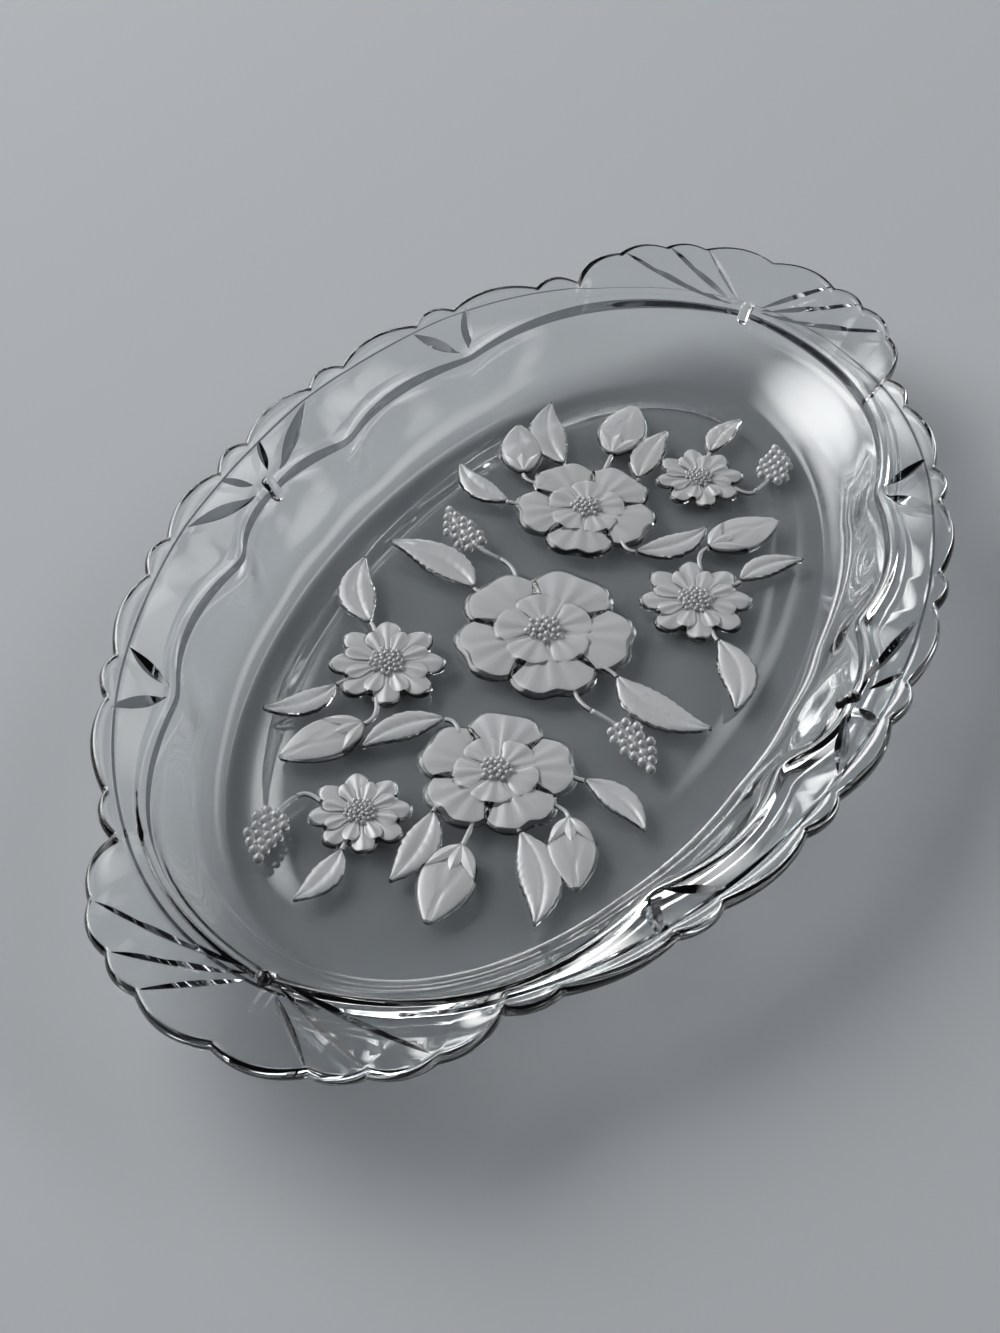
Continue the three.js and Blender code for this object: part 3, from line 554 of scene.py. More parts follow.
def cutter(start, end, width, depth, taper, steps=26):
    """Points and faces of a pointed prism that leaves a mitred cut. It follows an even fit of the surface."""
    way = end - start
    left = np.array([-way[1], way[0]]) / norm(way)
    grids = np.meshgrid(np.linspace(0.012, 0.988, steps), np.arange(-2, 3), indexing="ij")
    u, v = (grid.ravel() for grid in grids)
    fullness = np.sin(math.pi * u) ** taper
    plan = start + np.outer(u, way) + np.outer(v * fullness * width / 2, left)
    terms = np.column_stack([u**0, u, u**2, u**3, v * fullness, v * u * fullness])
    heights = np.array([surface_height(p) for p in plan])
    z = terms @ lstsq(terms, heights, rcond=None)[0] + depth * fullness * (np.abs(v) - 1)
    faces = [(4, 3, 2, 1, 0), tuple(5 * (steps - 1) + k for k in range(5))]
    for n in range(steps - 1):
        for k in range(5):
            m = (k + 1) % 5
            faces.append((5 * n + k, 5 * n + m, 5 * n + 5 + m, 5 * n + 5 + k))
    return np.column_stack([plan, z]).tolist(), faces


corners = [tuple(v.co) for v in glass.data.vertices]
surface = BVHTree.FromPolygons(corners, [tuple(p.vertices) for p in glass.data.polygons])
cutters = mesh_object("cutters", *gathered(cutter(*cut) for cut in cuts))
# The faces left by the cuts take the near-black glass: painted shade for the dark leaf cuts and rays.
cutters.data.polygons.foreach_set("material_index", [1] * len(cutters.data.polygons))
print("cutter faces:", len(cutters.data.polygons))

# %% [markdown]
# ## The beads
# Where the middle sprigs and the fans begin, a round-ended bead hangs from the swagged edge onto the
# wall. It could be a stretched sphere, but that would be pointed. A short profile turned about a line
# keeps both ends round.

# %% Beads
BEAD_RADIUS = 2.4 * MM
BEAD_LENGTH = 4.5 * MM
BEAD_HEAD = 1.5 * MM
BEAD_LIFT = 1.0 * MM
BEAD_FORWARD, BEAD_DOWN = 0.55, -0.84


def bead(head, way, segments=24, caps=8):
    """Points and faces of a round-ended bead along a short line."""
    turn = Vector(way).to_track_quat("Z", "Y").to_matrix()
    arc = np.linspace(0, math.pi / 2, caps)[1:]
    profile = [(math.sin(t) * BEAD_RADIUS, -math.cos(t) * BEAD_RADIUS) for t in arc]
    profile += [(r, BEAD_LENGTH - z) for r, z in reversed(profile)]
    points = [Vector((0, 0, -BEAD_RADIUS))]
    around = np.arange(segments) * math.tau / segments
    for r, z in profile:
        points += [Vector((r * math.cos(t), r * math.sin(t), z)) for t in around]
    points.append(Vector((0, 0, BEAD_LENGTH + BEAD_RADIUS)))
    faces = []
    for n in range(len(profile) - 1):
        a = 1 + n * segments
        for k in range(segments):
            m = (k + 1) % segments
            faces.append((a + k, a + m, a + segments + m, a + segments + k))
    last = 1 + (len(profile) - 1) * segments
    for k in range(segments):
        m = (k + 1) % segments
        faces += [(0, 1 + m, 1 + k), (last + segments, last + k, last + m)]
    return [Vector(head) + turn @ p for p in points], faces


shapes, bead_heads = [], []
for side in ((0, 1), (0, -1), (1, 0), (-1, 0)):
    cusp = np.array(side) * np.array([SWAG_CUSPS[3][0], SWAG_CUSPS[0][1]])
    inward = -cusp / norm(cusp)
    bead_heads.append((*(cusp - inward * BEAD_HEAD), EDGE_Z + BEAD_LIFT))
    shapes.append(bead(bead_heads[-1], (*(inward * BEAD_FORWARD), BEAD_DOWN)))
beads = mesh_object("beads", *gathered(shapes))
print("bead faces:", len(beads.data.polygons))

# %% [markdown]
# ## Cutting and joining
# The real sprigs and beads are one with the glass. The beads could be left as separate pieces, but
# light would then break at their hidden faces. So one Boolean takes the cuts from the glass and
# another joins the beads to it, which leaves a single closed piece. Very short edges are dissolved,
# and edges in the cuts are marked sharp, so that they stay crisp.

# %% Cut and join
CUT_ROOM, CUT_EDGE = 1.06, 0.08 * MM
BEAD_ROOM = 8 * MM
SHARP_ANGLE = 0.22
FLOOR_CORNERS = 500


def evaluated(item):
    """A new mesh of an object as its modifiers leave it."""
    graph = bpy.context.evaluated_depsgraph_get()
    return bpy.data.meshes.new_from_object(item.evaluated_get(graph))


def combine(piece, tool, operation):
    """Change a piece by one Boolean with a tool, which is then removed."""
    modifier = piece.modifiers.new(operation, "BOOLEAN")
    modifier.operation = operation
    modifier.solver = "MANIFOLD"
    modifier.object = tool
    piece.data = evaluated(piece)
    piece.modifiers.clear()
    bpy.data.objects.remove(tool)


def in_cuts(plan):
    """True where a plan point lies on a cut or its edge."""
    inside = np.zeros(len(plan), dtype=bool)
    for start, end, width, _, taper in cuts:
        way = (end - start) / norm(end - start)
        u = (plan - start) @ way / norm(end - start)
        across = np.abs((plan - start) @ np.array([-way[1], way[0]]))
        fullness = np.clip(np.sin(math.pi * np.clip(u, 0, 1)), 0, 1) ** taper
        room = width / 2 * fullness * CUT_ROOM + CUT_EDGE
        inside |= (u > 0) & (u < 1) & (across < room)
    for x, y, _ in bead_heads:
        inside |= np.hypot(plan[:, 0] - x, plan[:, 1] - y) < BEAD_ROOM
    return inside


combine(glass, cutters, "DIFFERENCE")
combine(glass, beads, "UNION")
form = bmesh.new()
form.from_mesh(glass.data)
bmesh.ops.dissolve_degenerate(form, edges=form.edges, dist=1e-6)
bmesh.ops.triangulate(form, faces=[f for f in form.faces if 4 < len(f.verts) < FLOOR_CORNERS])
middles = np.array([(e.verts[0].co + e.verts[1].co) / 2 for e in form.edges])
near = in_cuts(middles[:, :2]) & (middles[:, 2] > 0.5 * EDGE_Z)
for line, here in zip(form.edges, near):
    line.smooth = not (here and line.calc_face_angle(0.0) > SHARP_ANGLE)
for face in form.faces:
    face.smooth = True
open_edges = sum(not line.is_manifold for line in form.edges)
form.to_mesh(glass.data)
form.free()
print("glass faces:", len(glass.data.polygons), "open edges:", open_edges)

# %% [markdown]
# ## Relief shapes
# On the floor of the well, petals and leaves stand in low relief, frosted on top and polished at the
# edge. They could be sculpted, but each is also a grid of points with a height. The grid's border is a
# wall down into the floor, so every shape is a closed solid that stands slightly sunk in the glass.

# %% Closed shells from grids
SUNK = 0.15 * MM
RELIEF = 2.2 * MM
LEAF_RELIEF = 1.4 * MM
PETAL_TWIST, PETAL_FOLD, PETAL_BEVEL = 0.13, 0.16, 0.2


def shell(name, grid, base=-SUNK, wide=1):
    """A closed solid over a grid of points. Faces away from the border carry the frosted attribute."""
    rows, columns = grid.shape[:2]
    index = np.arange(rows * columns).reshape(rows, columns)
    faces, frosted = [], []
    for r in range(rows - 1):
        for c in range(columns - 1):
            faces.append((index[r, c], index[r, c + 1], index[r + 1, c + 1], index[r + 1, c]))
            frosted.append(wide <= c < columns - 1 - wide and r < rows - 1 - wide)
    border = [*index[:, 0], *index[-1, 1:], *index[-2::-1, -1], *index[0, -2:0:-1]]
    points = grid.reshape(-1, 3)
    under = points[border].copy()
    under[:, 2] = base
    below = np.arange(len(border)) + rows * columns
    for i in range(len(border)):
        j = (i + 1) % len(border)
        faces.append((border[i], border[j], below[j], below[i]))
        frosted.append(False)
    faces.append(tuple(below))
    frosted.append(False)
    mesh = bpy.data.meshes.new(name)
    mesh.from_pydata([tuple(p) for p in np.vstack([points, under])], [], [tuple(map(int, f)) for f in faces])
    mark = mesh.attributes.new("frosted", "BOOLEAN", "FACE")
    mark.data.foreach_set("value", frosted)
    top_faces = (rows - 1) * (columns - 1)
    mesh.polygons.foreach_set("use_smooth", [True] * top_faces + [False] * (len(border) + 1))
    return mesh


def petal(name, radius, half_angle, shape, height, folds, lift=0.0):
    """One petal, pointing along +X, on a polar grid. shape gives its reach over the angle."""
    reach = np.linspace(0.08, 1, 15)[:, None]
    side = np.linspace(1, -1, 19)[None, :]
    angle = side * half_angle * (0.55 + 0.45 * reach)
    distance = radius * reach * shape(np.abs(side))
    body = 0.30 + 0.72 * reach - 0.42 * reach**6
    section = 0.56 + 0.44 * np.cos(side * math.pi / 2)
    z = height * body * section + PETAL_TWIST * height * side * reach
    z = z + PETAL_FOLD * height * np.cos(folds * math.pi * side) * reach * (1 - 0.4 * np.abs(side))
    z = z + lift - PETAL_BEVEL * height * (np.maximum(reach, np.abs(side)) > 0.99)
    plan = (distance * np.cos(angle), distance * np.sin(angle))
    return shell(name, np.dstack(np.broadcast_arrays(*plan, z)))


print("relief heights:", RELIEF, LEAF_RELIEF, "sunk by", SUNK)

# %% [markdown]
# ## What repeats
# A flower repeats one petal, its heart repeats one seed, and a spike repeats one berry. The copies
# could be made in a loop, but a Geometry Nodes tree keeps the rule in one place: one tree turns a petal
# into a whorl, one packs seeds in a spiral, and one strings berries along a bent stalk. Their inputs are
# named, so that a flower is only a set of numbers.

# %% Ends of every tree
FINISHES = dict(Polished="Material", Frosted="Material")


def node_tree(name, **inputs):
    """An empty tree, the sockets of its named inputs, and its last node."""
    tree = bpy.data.node_groups.new(name, "GeometryNodeTree")
    tree.interface.new_socket("Geometry", in_out="OUTPUT", socket_type="NodeSocketGeometry")
    for label, kind in {"Geometry": "Geometry", **inputs, **FINISHES}.items():
        tree.interface.new_socket(label, in_out="INPUT", socket_type="NodeSocket" + kind)
    return tree, tree.nodes.new("NodeGroupInput").outputs, tree.nodes.new("NodeGroupOutput")


def finish_tree(tree, geometry, given, end):
    """Realize the instances, then set the polished and the frosted material."""
    real = add(tree, "GeometryNodeRealizeInstances", {"Geometry": geometry})
    polished = add(tree, "GeometryNodeSetMaterial", {"Geometry": real, "Material": given["Polished"]})
    mark = add(tree, "GeometryNodeInputNamedAttribute", {"Name": "frosted"}, data_type="BOOLEAN")
    links = {"Geometry": polished, "Selection": mark, "Material": given["Frosted"]}
    plug(tree, end, {0: add(tree, "GeometryNodeSetMaterial", links)})


print("every tree takes:", list(FINISHES))

# %% A whorl of petals
whorl, given, end = node_tree("petal_whorl", Count="Int", Turn="Float")
index = add(whorl, "GeometryNodeInputIndex")
step = maths(whorl, "DIVIDE", 2 * math.pi, given["Count"])
turn = maths(whorl, "ADD", maths(whorl, "MULTIPLY", index, step), given["Turn"])
points = add(whorl, "GeometryNodePoints", {"Count": given["Count"]})
turned = add(whorl, "ShaderNodeCombineXYZ", {"Z": turn})
links = {"Points": points, "Instance": given["Geometry"], "Rotation": turned}
finish_tree(whorl, add(whorl, "GeometryNodeInstanceOnPoints", links), given, end)
print("node tree:", whorl.name)

# %% A spiral of seeds
GOLDEN_ANGLE = math.pi * (3 - math.sqrt(5))
FIRST_SEED = 0.4
sizes = dict(Count="Int", Spacing="Float", Radius="Float", Base="Float", Dome="Float")
seeds, given, end = node_tree("seed_spiral", **sizes)
index = add(seeds, "GeometryNodeInputIndex")
root = maths(seeds, "SQRT", maths(seeds, "ADD", index, FIRST_SEED))
out = maths(seeds, "MULTIPLY", root, given["Spacing"])
turn = maths(seeds, "MULTIPLY", index, GOLDEN_ANGLE)
far = maths(seeds, "DIVIDE", index, given["Count"])
z = maths(seeds, "SUBTRACT", given["Base"], maths(seeds, "MULTIPLY", far, given["Dome"]))
x = maths(seeds, "MULTIPLY", out, maths(seeds, "COSINE", turn))
y = maths(seeds, "MULTIPLY", out, maths(seeds, "SINE", turn))
spot = add(seeds, "ShaderNodeCombineXYZ", {"X": x, "Y": y, "Z": z})
points = add(seeds, "GeometryNodePoints", {"Count": given["Count"], "Position": spot})
seed = add(seeds, "GeometryNodeMeshIcoSphere", {"Radius": given["Radius"], "Subdivisions": 2})
seed = add(seeds, "GeometryNodeSetShadeSmooth", {"Geometry": seed})
links = {"Points": points, "Instance": seed}
finish_tree(seeds, add(seeds, "GeometryNodeInstanceOnPoints", links), given, end)
print("node tree:", seeds.name)

# %% A sprig of berries
sizes = dict(Start="Vector", Middle="Vector", End="Vector", Berry_radius="Float", Stalk_radius="Float")
sprigs, given, end = node_tree("berry_sprig", **sizes)
links = {key: given[key] for key in ("Start", "Middle", "End")}
curve = add(sprigs, "GeometryNodeCurveQuadraticBezier", {"Resolution": 24, **links})
links = {"Resolution": 10, "Radius": given["Stalk_radius"]}
circle = add(sprigs, "GeometryNodeCurvePrimitiveCircle", links)
links = {"Curve": curve, "Profile Curve": circle, "Fill Caps": True}
stem = add(sprigs, "GeometryNodeCurveToMesh", links)
links = {"Segments": 20, "Rings": 12, "Radius": given["Berry_radius"]}
berry = add(sprigs, "GeometryNodeMeshUVSphere", links)
links = {"Points": given["Geometry"], "Instance": berry}
row = add(sprigs, "GeometryNodeInstanceOnPoints", links)
both = add(sprigs, "GeometryNodeJoinGeometry")
plug(sprigs, both, {0: stem})
plug(sprigs, both, {0: row})
soft = add(sprigs, "GeometryNodeSetShadeSmooth", {"Geometry": both})
finish_tree(sprigs, soft, given, end)
print("node tree:", sprigs.name)


# %% Run a node tree on a mesh
def grown(mesh, tree, **values):
    """The mesh that a node tree makes from a mesh and its named inputs."""
    carrier = placed("carrier", mesh)
    modifier = carrier.modifiers.new(tree.name, "NODES")
    modifier.node_group = tree
    values = {"Polished": CLEAR, "Frosted": FROST, **values}
    for socket in tree.interface.items_tree:
        if socket.in_out == "INPUT" and socket.name in values:
            modifier[socket.identifier] = values[socket.name]
    carrier.update_tag()
    result = evaluated(carrier)
    bpy.data.objects.remove(carrier)
    return result


print("node trees:", [tree.name for tree in bpy.data.node_groups])

# %% [markdown]
# ## The spray
# The flowers are blossoms with two whorls of five petals and daisies with two whorls of eight. The far
# half is listed with its places on the floor, and the near half is the same list turned by half a turn.
# The pieces could be moved as objects, but a finished piece stays at the origin. So each is joined from
# its own meshes and put in its place in the mesh.

# %% Join a piece and place it
SLOTS = {CLEAR.name: 0, FROST.name: 1, PEARL.name: 2}
made = []


def join(name, meshes, place):
    """Make one piece from several meshes, put in place in the mesh itself."""
    vertices, faces, slots, smooth_faces = [], [], [], []
    for mesh in meshes:
        shift = len(vertices)
        vertices += [place @ v.co for v in mesh.vertices]
        names = [material.name if material else "" for material in mesh.materials]
        for polygon in mesh.polygons:
            faces.append([v + shift for v in polygon.vertices])
            slots.append(SLOTS.get(names[polygon.material_index], 0))
            smooth_faces.append(polygon.use_smooth)
    mesh = bpy.data.meshes.new(name)
    mesh.from_pydata(vertices, [], faces)
    for material in (CLEAR, FROST, PEARL):
        mesh.materials.append(material)
    mesh.polygons.foreach_set("material_index", slots)
    mesh.polygons.foreach_set("use_smooth", smooth_faces)
    made.append((placed("relief_" + name, mesh), name))


def on_floor(x, y, turn, half):
    """The place of a flower, for the far half or turned by half a turn for the near half."""
    spin = Matrix.Rotation(math.pi * half, 4, "Z")
    return spin @ Matrix.Translation((x * MM, y * MM, FLOOR_TOP)) @ Matrix.Rotation(turn, 4, "Z")


print("material slots:", SLOTS)

# %% Blossoms and daisies
BLOSSOM_PETALS, DAISY_PETALS = 5, 8
BLOSSOM_HEART = dict(count=21, spacing=0.042, seed=0.042, base=0.95, dome=0.6)
DAISY_HEART = dict(count=34, spacing=0.052, seed=0.055, base=0.85, dome=0.7)


def heart(radius, shape):
    """The seeds in the middle of a flower, as shares of its radius and of the relief."""
    values = dict(Count=shape["count"], Spacing=radius * shape["spacing"], Radius=radius * shape["seed"])
    values.update(Base=RELIEF * shape["base"], Dome=shape["dome"] * MM)
    return grown(bpy.data.meshes.new("empty"), seeds, Polished=PEARL, **values)


def blossom(name, x, y, turn, radius, half=0):
    """A broad flower: notched outer petals, with a smaller whorl over the gaps."""
    radius = radius * MM

    def notched(v):
        return 1 - 0.26 * v**3 - 0.06 * np.exp(-((v / 0.2) ** 2))

    lower = petal("petal", radius, 0.70, notched, RELIEF, 4)
    upper = petal("petal", radius * 0.56, 0.74, lambda v: 1 - 0.24 * v**3, RELIEF * 0.8, 3, 0.5 * MM)
    parts = [grown(lower, whorl, Count=BLOSSOM_PETALS, Turn=math.pi / BLOSSOM_PETALS)]
    parts.append(grown(upper, whorl, Count=BLOSSOM_PETALS, Turn=0.0))
    parts.append(heart(radius, BLOSSOM_HEART))
    join(name, parts, on_floor(x, y, turn, half))


def daisy(name, x, y, turn, radius, half):
    """A small flower with slender petals in two whorls."""
    radius = radius * MM
    lower = petal("petal", radius, 0.39, lambda v: 1 - 0.34 * v**2.4, RELIEF * 0.8, 2)
    upper = petal("petal", radius * 0.78, 0.36, lambda v: 1 - 0.30 * v**2.4, RELIEF * 0.75, 2, 0.4 * MM)
    parts = [grown(lower, whorl, Count=DAISY_PETALS, Turn=math.pi / DAISY_PETALS)]
    parts.append(grown(upper, whorl, Count=DAISY_PETALS, Turn=0.0))
    parts.append(heart(radius, DAISY_HEART))
    join(name, parts, on_floor(x, y, turn, half))


FLOWERS = [(0, 0, 0.6, 29), (58, 13, 0.3, 24), (35, -36, 0.1, 18), (90, -14, 0.2, 15)]
blossom("blossom_middle", *FLOWERS[0])
for half, side in enumerate(("far", "near")):
    blossom("blossom_" + side, *FLOWERS[1], half)
    daisy("daisy_inner_" + side, *FLOWERS[2], half)
    daisy("daisy_outer_" + side, *FLOWERS[3], half)
print("flowers:", [name for _, name in made])

# %% [markdown]
# ## Leaves, buds and berries
# These follow a bent line from their base, and a stalk leads back into the nearest flower. A leaf has a
# keel, side veins and a toothed edge. A bud is a full drop with the seams of its wrapped petals and three
# sepals at its base. A spike has staggered rows of berries. A curve with a bevel could follow the same
# line, but it would be round in section, so a blade takes a width and a height along it.

# %% Blades along bent lines
BLADE_BEVEL = 0.2 * MM
STALK_HALF_WIDTH, STALK_HEIGHT = 0.75 * MM, 1.0 * MM
STALK_REACH = 0.75
STALK_LEAST = 4.0


def bent(x, y, heading, length, bend):
    """Start, middle and end of a bent line in the plan, in metres."""
    turn = math.radians(heading)
    along = np.array([math.cos(turn), math.sin(turn)])
    start = np.array([x, y]) * MM
    middle = start + along * length * MM / 2 + np.array([-along[1], along[0]]) * bend * 2 * MM
    return start, middle, start + along * length * MM


def along_line(line, u):
    """Points of a bent line at shares of its way, and the ways to its left."""
    start, middle, end = line
    u = np.asarray(u)[:, None]
    point = (1 - u) ** 2 * start + 2 * u * (1 - u) * middle + u**2 * end
    way = 2 * (1 - u) * (middle - start) + 2 * u * (end - middle)
    way = way / norm(way, axis=1, keepdims=True)
    return point, np.column_stack([-way[:, 1], way[:, 0]])


def blade(name, line, half_width, height, steps=31, lift=0.0):
    """A closed blade over a bent line. half_width is a function of u and height a function of u and v."""
    u = np.linspace(0.02, 0.98, steps)
    v = np.linspace(1, -1, 17)
    point, left = along_line(line, u)
    plan = point[:, None, :] + left[:, None, :] * (half_width(u)[:, None] * v[None, :])[..., None]
    z = height(u[:, None], v[None, :]) + lift
    z = z - BLADE_BEVEL * (np.abs(v)[None, :] > 0.99)
    mesh = shell(name, np.dstack([plan[..., 0], plan[..., 1], np.broadcast_to(z, plan.shape[:2])]))
    mesh.materials.append(CLEAR)
    mesh.materials.append(FROST)
    frosted = [int(mark.value) for mark in mesh.attributes["frosted"].data]
    mesh.polygons.foreach_set("material_index", frosted)
    return mesh


def stalk(name, x, y, heading):
    """A thin round stalk from the base of a leaf, bud or spike back into the nearest flower."""
    base = np.array([x, y])
    flower = min(FLOWERS, key=lambda f: np.hypot(f[0] - x, f[1] - y) - f[3])
    centre = np.array(flower[:2])
    reach = max(norm(centre - base) - STALK_REACH * flower[3], STALK_LEAST)
    end = base + (centre - base) / norm(centre - base) * reach
    turn = math.radians(heading)
    middle = base - np.array([math.cos(turn), math.sin(turn)]) * 0.5 * reach
    line = (base * MM, middle * MM, end * MM)

    def half_width(u):
        return STALK_HALF_WIDTH + 0 * u

    def height(u, v):
        return STALK_HEIGHT * np.sqrt(1 - 0.8 * v**2) + 0 * u

    return blade(name, line, half_width, height, 15)


print("stalk:", STALK_HALF_WIDTH, "half-width,", STALK_HEIGHT, "high")

# %% Leaves
LEAF_HALF_WIDTH = 0.20
LEAF_TOOTH = 3.4
TOOTH_DEPTH = 0.09
STALK_TURN = 200
LEAVES = [
    (7, 28, 80, 35, -4), (49, 37, 68, 25, 3), (75, 29, 33, 33, 4), (80, 4, 2, 28, 2),
    (47, -10, -36, 27, -3), (50, -45, -38, 24, 3), (22, -49, -148, 30, 4), (104, -12, -8, 22, 2),
]


def leaf(name, x, y, heading, length, bend, half):
    """A leaf with a keel, side veins and a toothed edge, and its stalk."""
    teeth = max(6, round(length / LEAF_TOOTH))
    reach = length * MM

    def half_width(u):
        toothed = 1 + TOOTH_DEPTH * ((u * teeth) % 1 - 0.5)
        return LEAF_HALF_WIDTH * reach * np.sin(math.pi * u**0.85) * toothed

    def height(u, v):
        vein = np.maximum(0, np.cos(2 * math.pi * (u * teeth - 1.3 * np.abs(v)))) ** 5
        crown = 0.42 + 0.58 * np.sin(math.pi * (0.08 + 0.88 * np.abs(v)))
        return LEAF_RELIEF * (crown - 0.14 * vein * (1 - np.abs(v)))

    line = bent(x, y, heading, length, bend)
    parts = [blade(name, line, half_width, height, 49)]
    parts.append(stalk(name, x, y, heading + STALK_TURN * bend / length))
    join(name, parts, on_floor(0, 0, 0, half))


print("leaves in each half:", len(LEAVES))

# %% Buds
BUD_HALF_WIDTH = 0.29
SEPAL_HALF_WIDTH = 0.075
SEPALS = ((-34, 0.46), (0, 0.4), (34, 0.46))
BUDS = dict(bud_end=(87, 17, 8, 29, 0), bud_upper=(64, 39, 30, 26, 0), bud_lower=(60, -30, -33, 28, 0))


def bud(name, x, y, heading, length, bend, half):
    """A closed bud with two seams, three sepals over its base, and its stalk."""
    reach = length * MM
    line = bent(x, y, heading, length, bend)

    def half_width(u):
        return BUD_HALF_WIDTH * reach * np.sin(math.pi * u**0.8) ** 0.8

    def height(u, v):
        dome = RELIEF * 0.9 * (0.35 + 0.65 * np.sqrt(1 - 0.98 * v**2)) * (0.5 + 0.5 * np.sin(math.pi * u))
        seams = sum(np.exp(-(((v - place) / 0.07) ** 2)) for place in (0.55 - 0.75 * u, 0.75 * u - 0.5))
        return dome - 0.16 * RELIEF * seams * smooth((u - 0.12) * 4)

    def sepal_half_width(u):
        return SEPAL_HALF_WIDTH * reach * np.sin(math.pi * u**0.8)

    def sepal_height(u, v):
        return RELIEF * (0.75 + 0.35 * np.sin(math.pi * u)) * (1 - 0.25 * np.abs(v))

    parts = [blade(name, line, half_width, height), stalk(name, x, y, heading)]
    for turn, share in SEPALS:
        sepal = bent(x, y, heading + turn, length * share, 0)
        parts.append(blade(name, sepal, sepal_half_width, sepal_height, 17))
    join(name, parts, on_floor(0, 0, 0, half))


print("buds in each half:", len(BUDS))

# %% Berry spikes
BERRY_RADIUS, BERRY_GAP, BERRY_LIFT = 1.6 * MM, 2.9 * MM, 0.3 * MM
BERRY_ROWS = np.linspace(0.34, 0.97, 7)
SPIKE_HALF_WIDTH = 5.4 * MM
SPIKE_STALK = 0.8 * MM
BERRIES = dict(berries_upper=(23, 27, 62, 29, 3), berries_lower=(93, -33, 6, 25, -3))


def berries(name, x, y, heading, length, bend, half):
    """A spike of polished berries, packed in staggered rows along a stalk."""
    line = bent(x, y, heading, length, bend)
    spots = []
    for n, u in enumerate(BERRY_ROWS):
        point, left = along_line(line, [u])
        room = max(SPIKE_HALF_WIDTH * math.sin(math.pi * ((u - 0.2) / 0.86) ** 0.75), 0.1 * MM)
        across = np.arange(-2, 3) * BERRY_GAP + (n % 2) * BERRY_GAP / 2
        spots += [(*(point + left * v)[0], BERRY_LIFT) for v in across if abs(v) < room]
    places = bpy.data.meshes.new("berry_places")
    places.from_pydata(spots, [], [])
    start, middle, spike_end = (Vector((*p, BERRY_LIFT)) for p in line)
    values = dict(Start=start, Middle=middle, End=spike_end)
    values.update(Stalk_radius=SPIKE_STALK, Berry_radius=BERRY_RADIUS)
    parts = [grown(places, sprigs, Polished=PEARL, **values)]
    parts.append(stalk(name, x, y, heading + STALK_TURN * bend / length))
    join(name, parts, on_floor(0, 0, 0, half))


print("spikes in each half:", len(BERRIES))

# %% Both halves of the spray
for half, side in enumerate(("far", "near")):
    for key, values in BUDS.items():
        bud(key + "_" + side, *values, half)
    for key, values in BERRIES.items():
        berries(key + "_" + side, *values, half)
    for n, values in enumerate(LEAVES, 1):
        leaf("leaf_" + str(n) + "_" + side, *values, half)
print("relief pieces:", len(made))

# %% [markdown]
# ## On the frame
# The real platter is one piece of glass, so nothing in it moves. Every piece here rides on the one body
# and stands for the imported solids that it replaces. The glass replaces the ten solids of the pressing,
# and each piece of the spray replaces the solid of the same name.

# %% Ride and replace
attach(glass, "root")
rim_nodes = ("rim_side_left", "rim_side_right", "handle_far", "handle_near")
bead_nodes = ("bead_left", "bead_right", "bead_near", "bead_far")
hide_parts("well_floor", "well_wall", *rim_nodes, *bead_nodes)
for piece, node in made:
    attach(piece, "root")
    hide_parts(node)
print("triangles:", sum(len(p.vertices) - 2 for o in [glass, *(m[0] for m in made)] for p in o.data.polygons))

# %% [markdown]
# ## Stage, light and camera
# A plain pale floor, soft studio light and a camera at the photograph's viewing angle. Glass is seen by
# what it mirrors and bends. A lamp with a hard edge would be mirrored as a hard patch in the wall, so the
# lamps are broad softboxes that fade towards their edges, in a room of darker grey. The key lights the
# relief from the left, the back lamp draws the bright lines in the right wall, and the side lamp lays
# a soft band on the left wall.

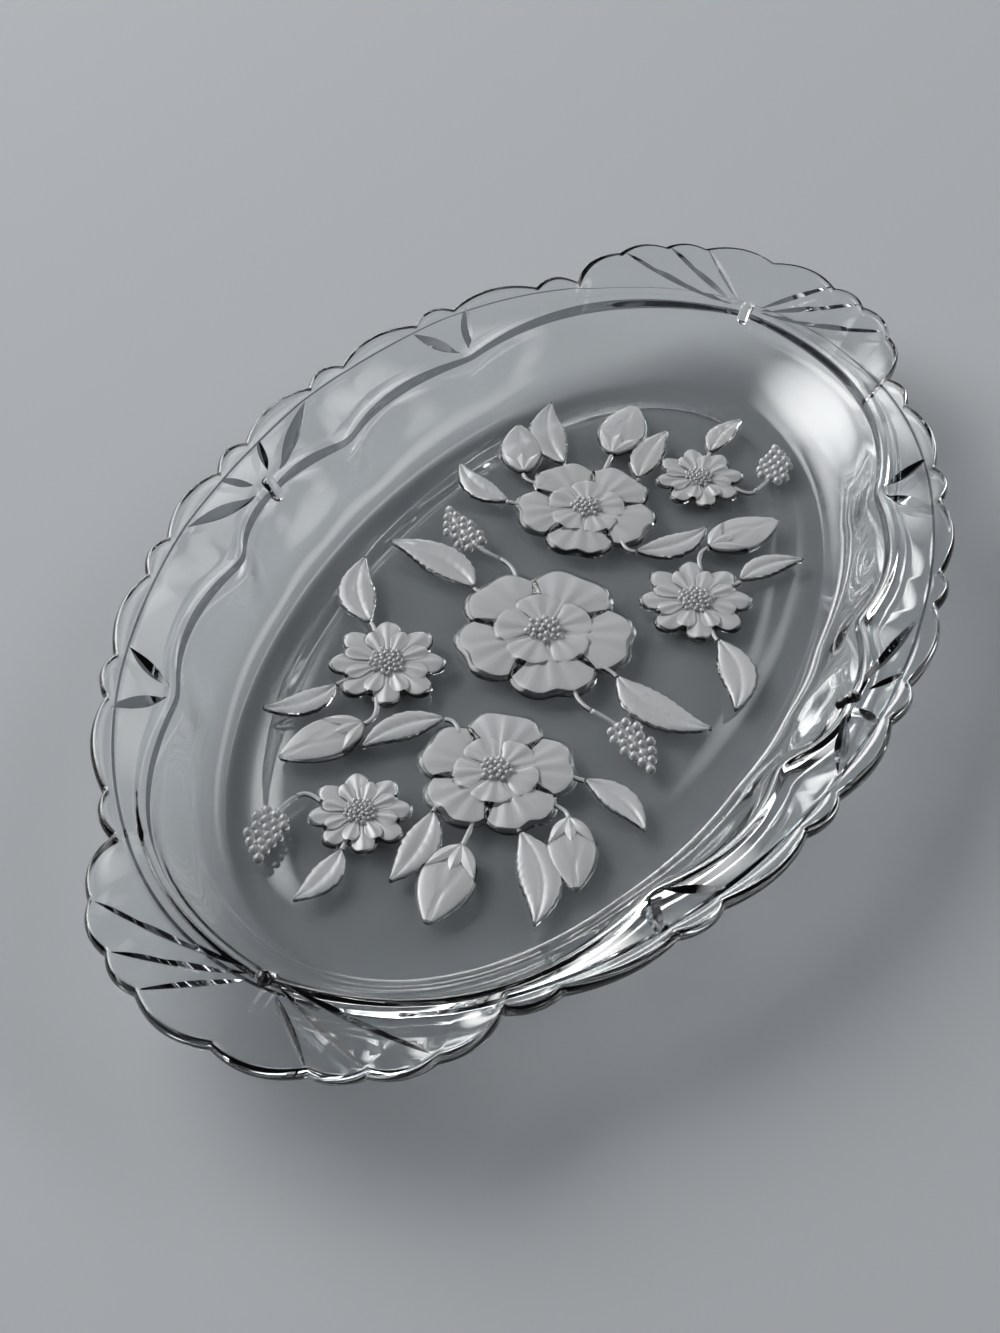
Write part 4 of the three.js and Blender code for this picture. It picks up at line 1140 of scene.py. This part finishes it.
# %% Stage
STAGE_SIZE, STAGE_DROP = 6.0, 0.3 * MM
STAGE_COLOUR = (0.46, 0.48, 0.50, 1.0)
STAGE_ROUGHNESS, STAGE_SHEEN = 0.8, 0.1
ROOM_COLOUR = (0.05, 0.053, 0.06, 1.0)
bpy.ops.mesh.primitive_plane_add(size=STAGE_SIZE, location=(0, 0, -STAGE_DROP))
ground = bpy.context.object
ground.name = "stage_floor"
paint = bpy.data.materials.new("stage_floor")
paint.use_nodes = True
links = {"Base Color": STAGE_COLOUR, "Roughness": STAGE_ROUGHNESS, "Specular IOR Level": STAGE_SHEEN}
plug(paint.node_tree, paint.node_tree.nodes["Principled BSDF"], links)
ground.data.materials.append(paint)

world = bpy.data.worlds.new("studio")
bpy.context.scene.world = world
world.use_nodes = True
world.node_tree.nodes["Background"].inputs["Color"].default_value = ROOM_COLOUR
print("stage:", ground.name, "world:", world.name)

# %% Softboxes
FADE_PEAK = 36.0


def softbox(name, place, size, power):
    """A flat lamp that faces the platter, with its long side level, brightest in its middle."""
    light = bpy.data.lights.new(name, "AREA")
    light.shape = "RECTANGLE"
    light.size, light.size_y = size
    light.energy = power
    light.use_nodes = True
    tree = light.node_tree
    face = add(tree, "ShaderNodeNewGeometry").outputs["Parametric"]
    spot = add(tree, "ShaderNodeSeparateXYZ", {0: face})
    strength = FADE_PEAK
    for axis in "XY":
        share = spot.outputs[axis]
        fade = maths(tree, "MULTIPLY", share, maths(tree, "SUBTRACT", 1.0, share))
        strength = maths(tree, "MULTIPLY", strength, fade)
    plug(tree, tree.nodes["Emission"], {"Strength": strength})
    lamp = placed(name, light)
    lamp.location = place
    lamp.rotation_euler = (-Vector(place)).to_track_quat("-Z", "Y").to_euler()


softbox("key", (0.19, 3.49, 2.4), (5.3, 3.7), 220)
softbox("back", (3.52, 3.85, 0.66), (5.06, 1.1), 73)
softbox("side", (2.37, -1.98, 2.78), (6.1, 1.44), 41)
print("lamps:", [lamp.name for lamp in bpy.data.lights])

# %% Camera
EYE = (-0.39867, -0.17429, 0.44124)
LENS, SENSOR = 53.71, 36.0
camera = placed("camera", bpy.data.cameras.new("camera"))
right = Vector((0.45241, -0.89143, 0.02608))
down = Vector((-0.63396, -0.34204, -0.69362))
forward = Vector((0.62723, 0.29727, -0.71987))
turn = Matrix((right, -down, -forward)).transposed().to_4x4()
camera.matrix_world = Matrix.Translation(EYE) @ turn
camera.data.sensor_width = SENSOR
camera.data.lens = LENS
camera.data.clip_start = 0.01
bpy.context.scene.camera = camera
bpy.context.scene.view_settings.view_transform = "Standard"
print("camera at", [round(v, 3) for v in camera.location])
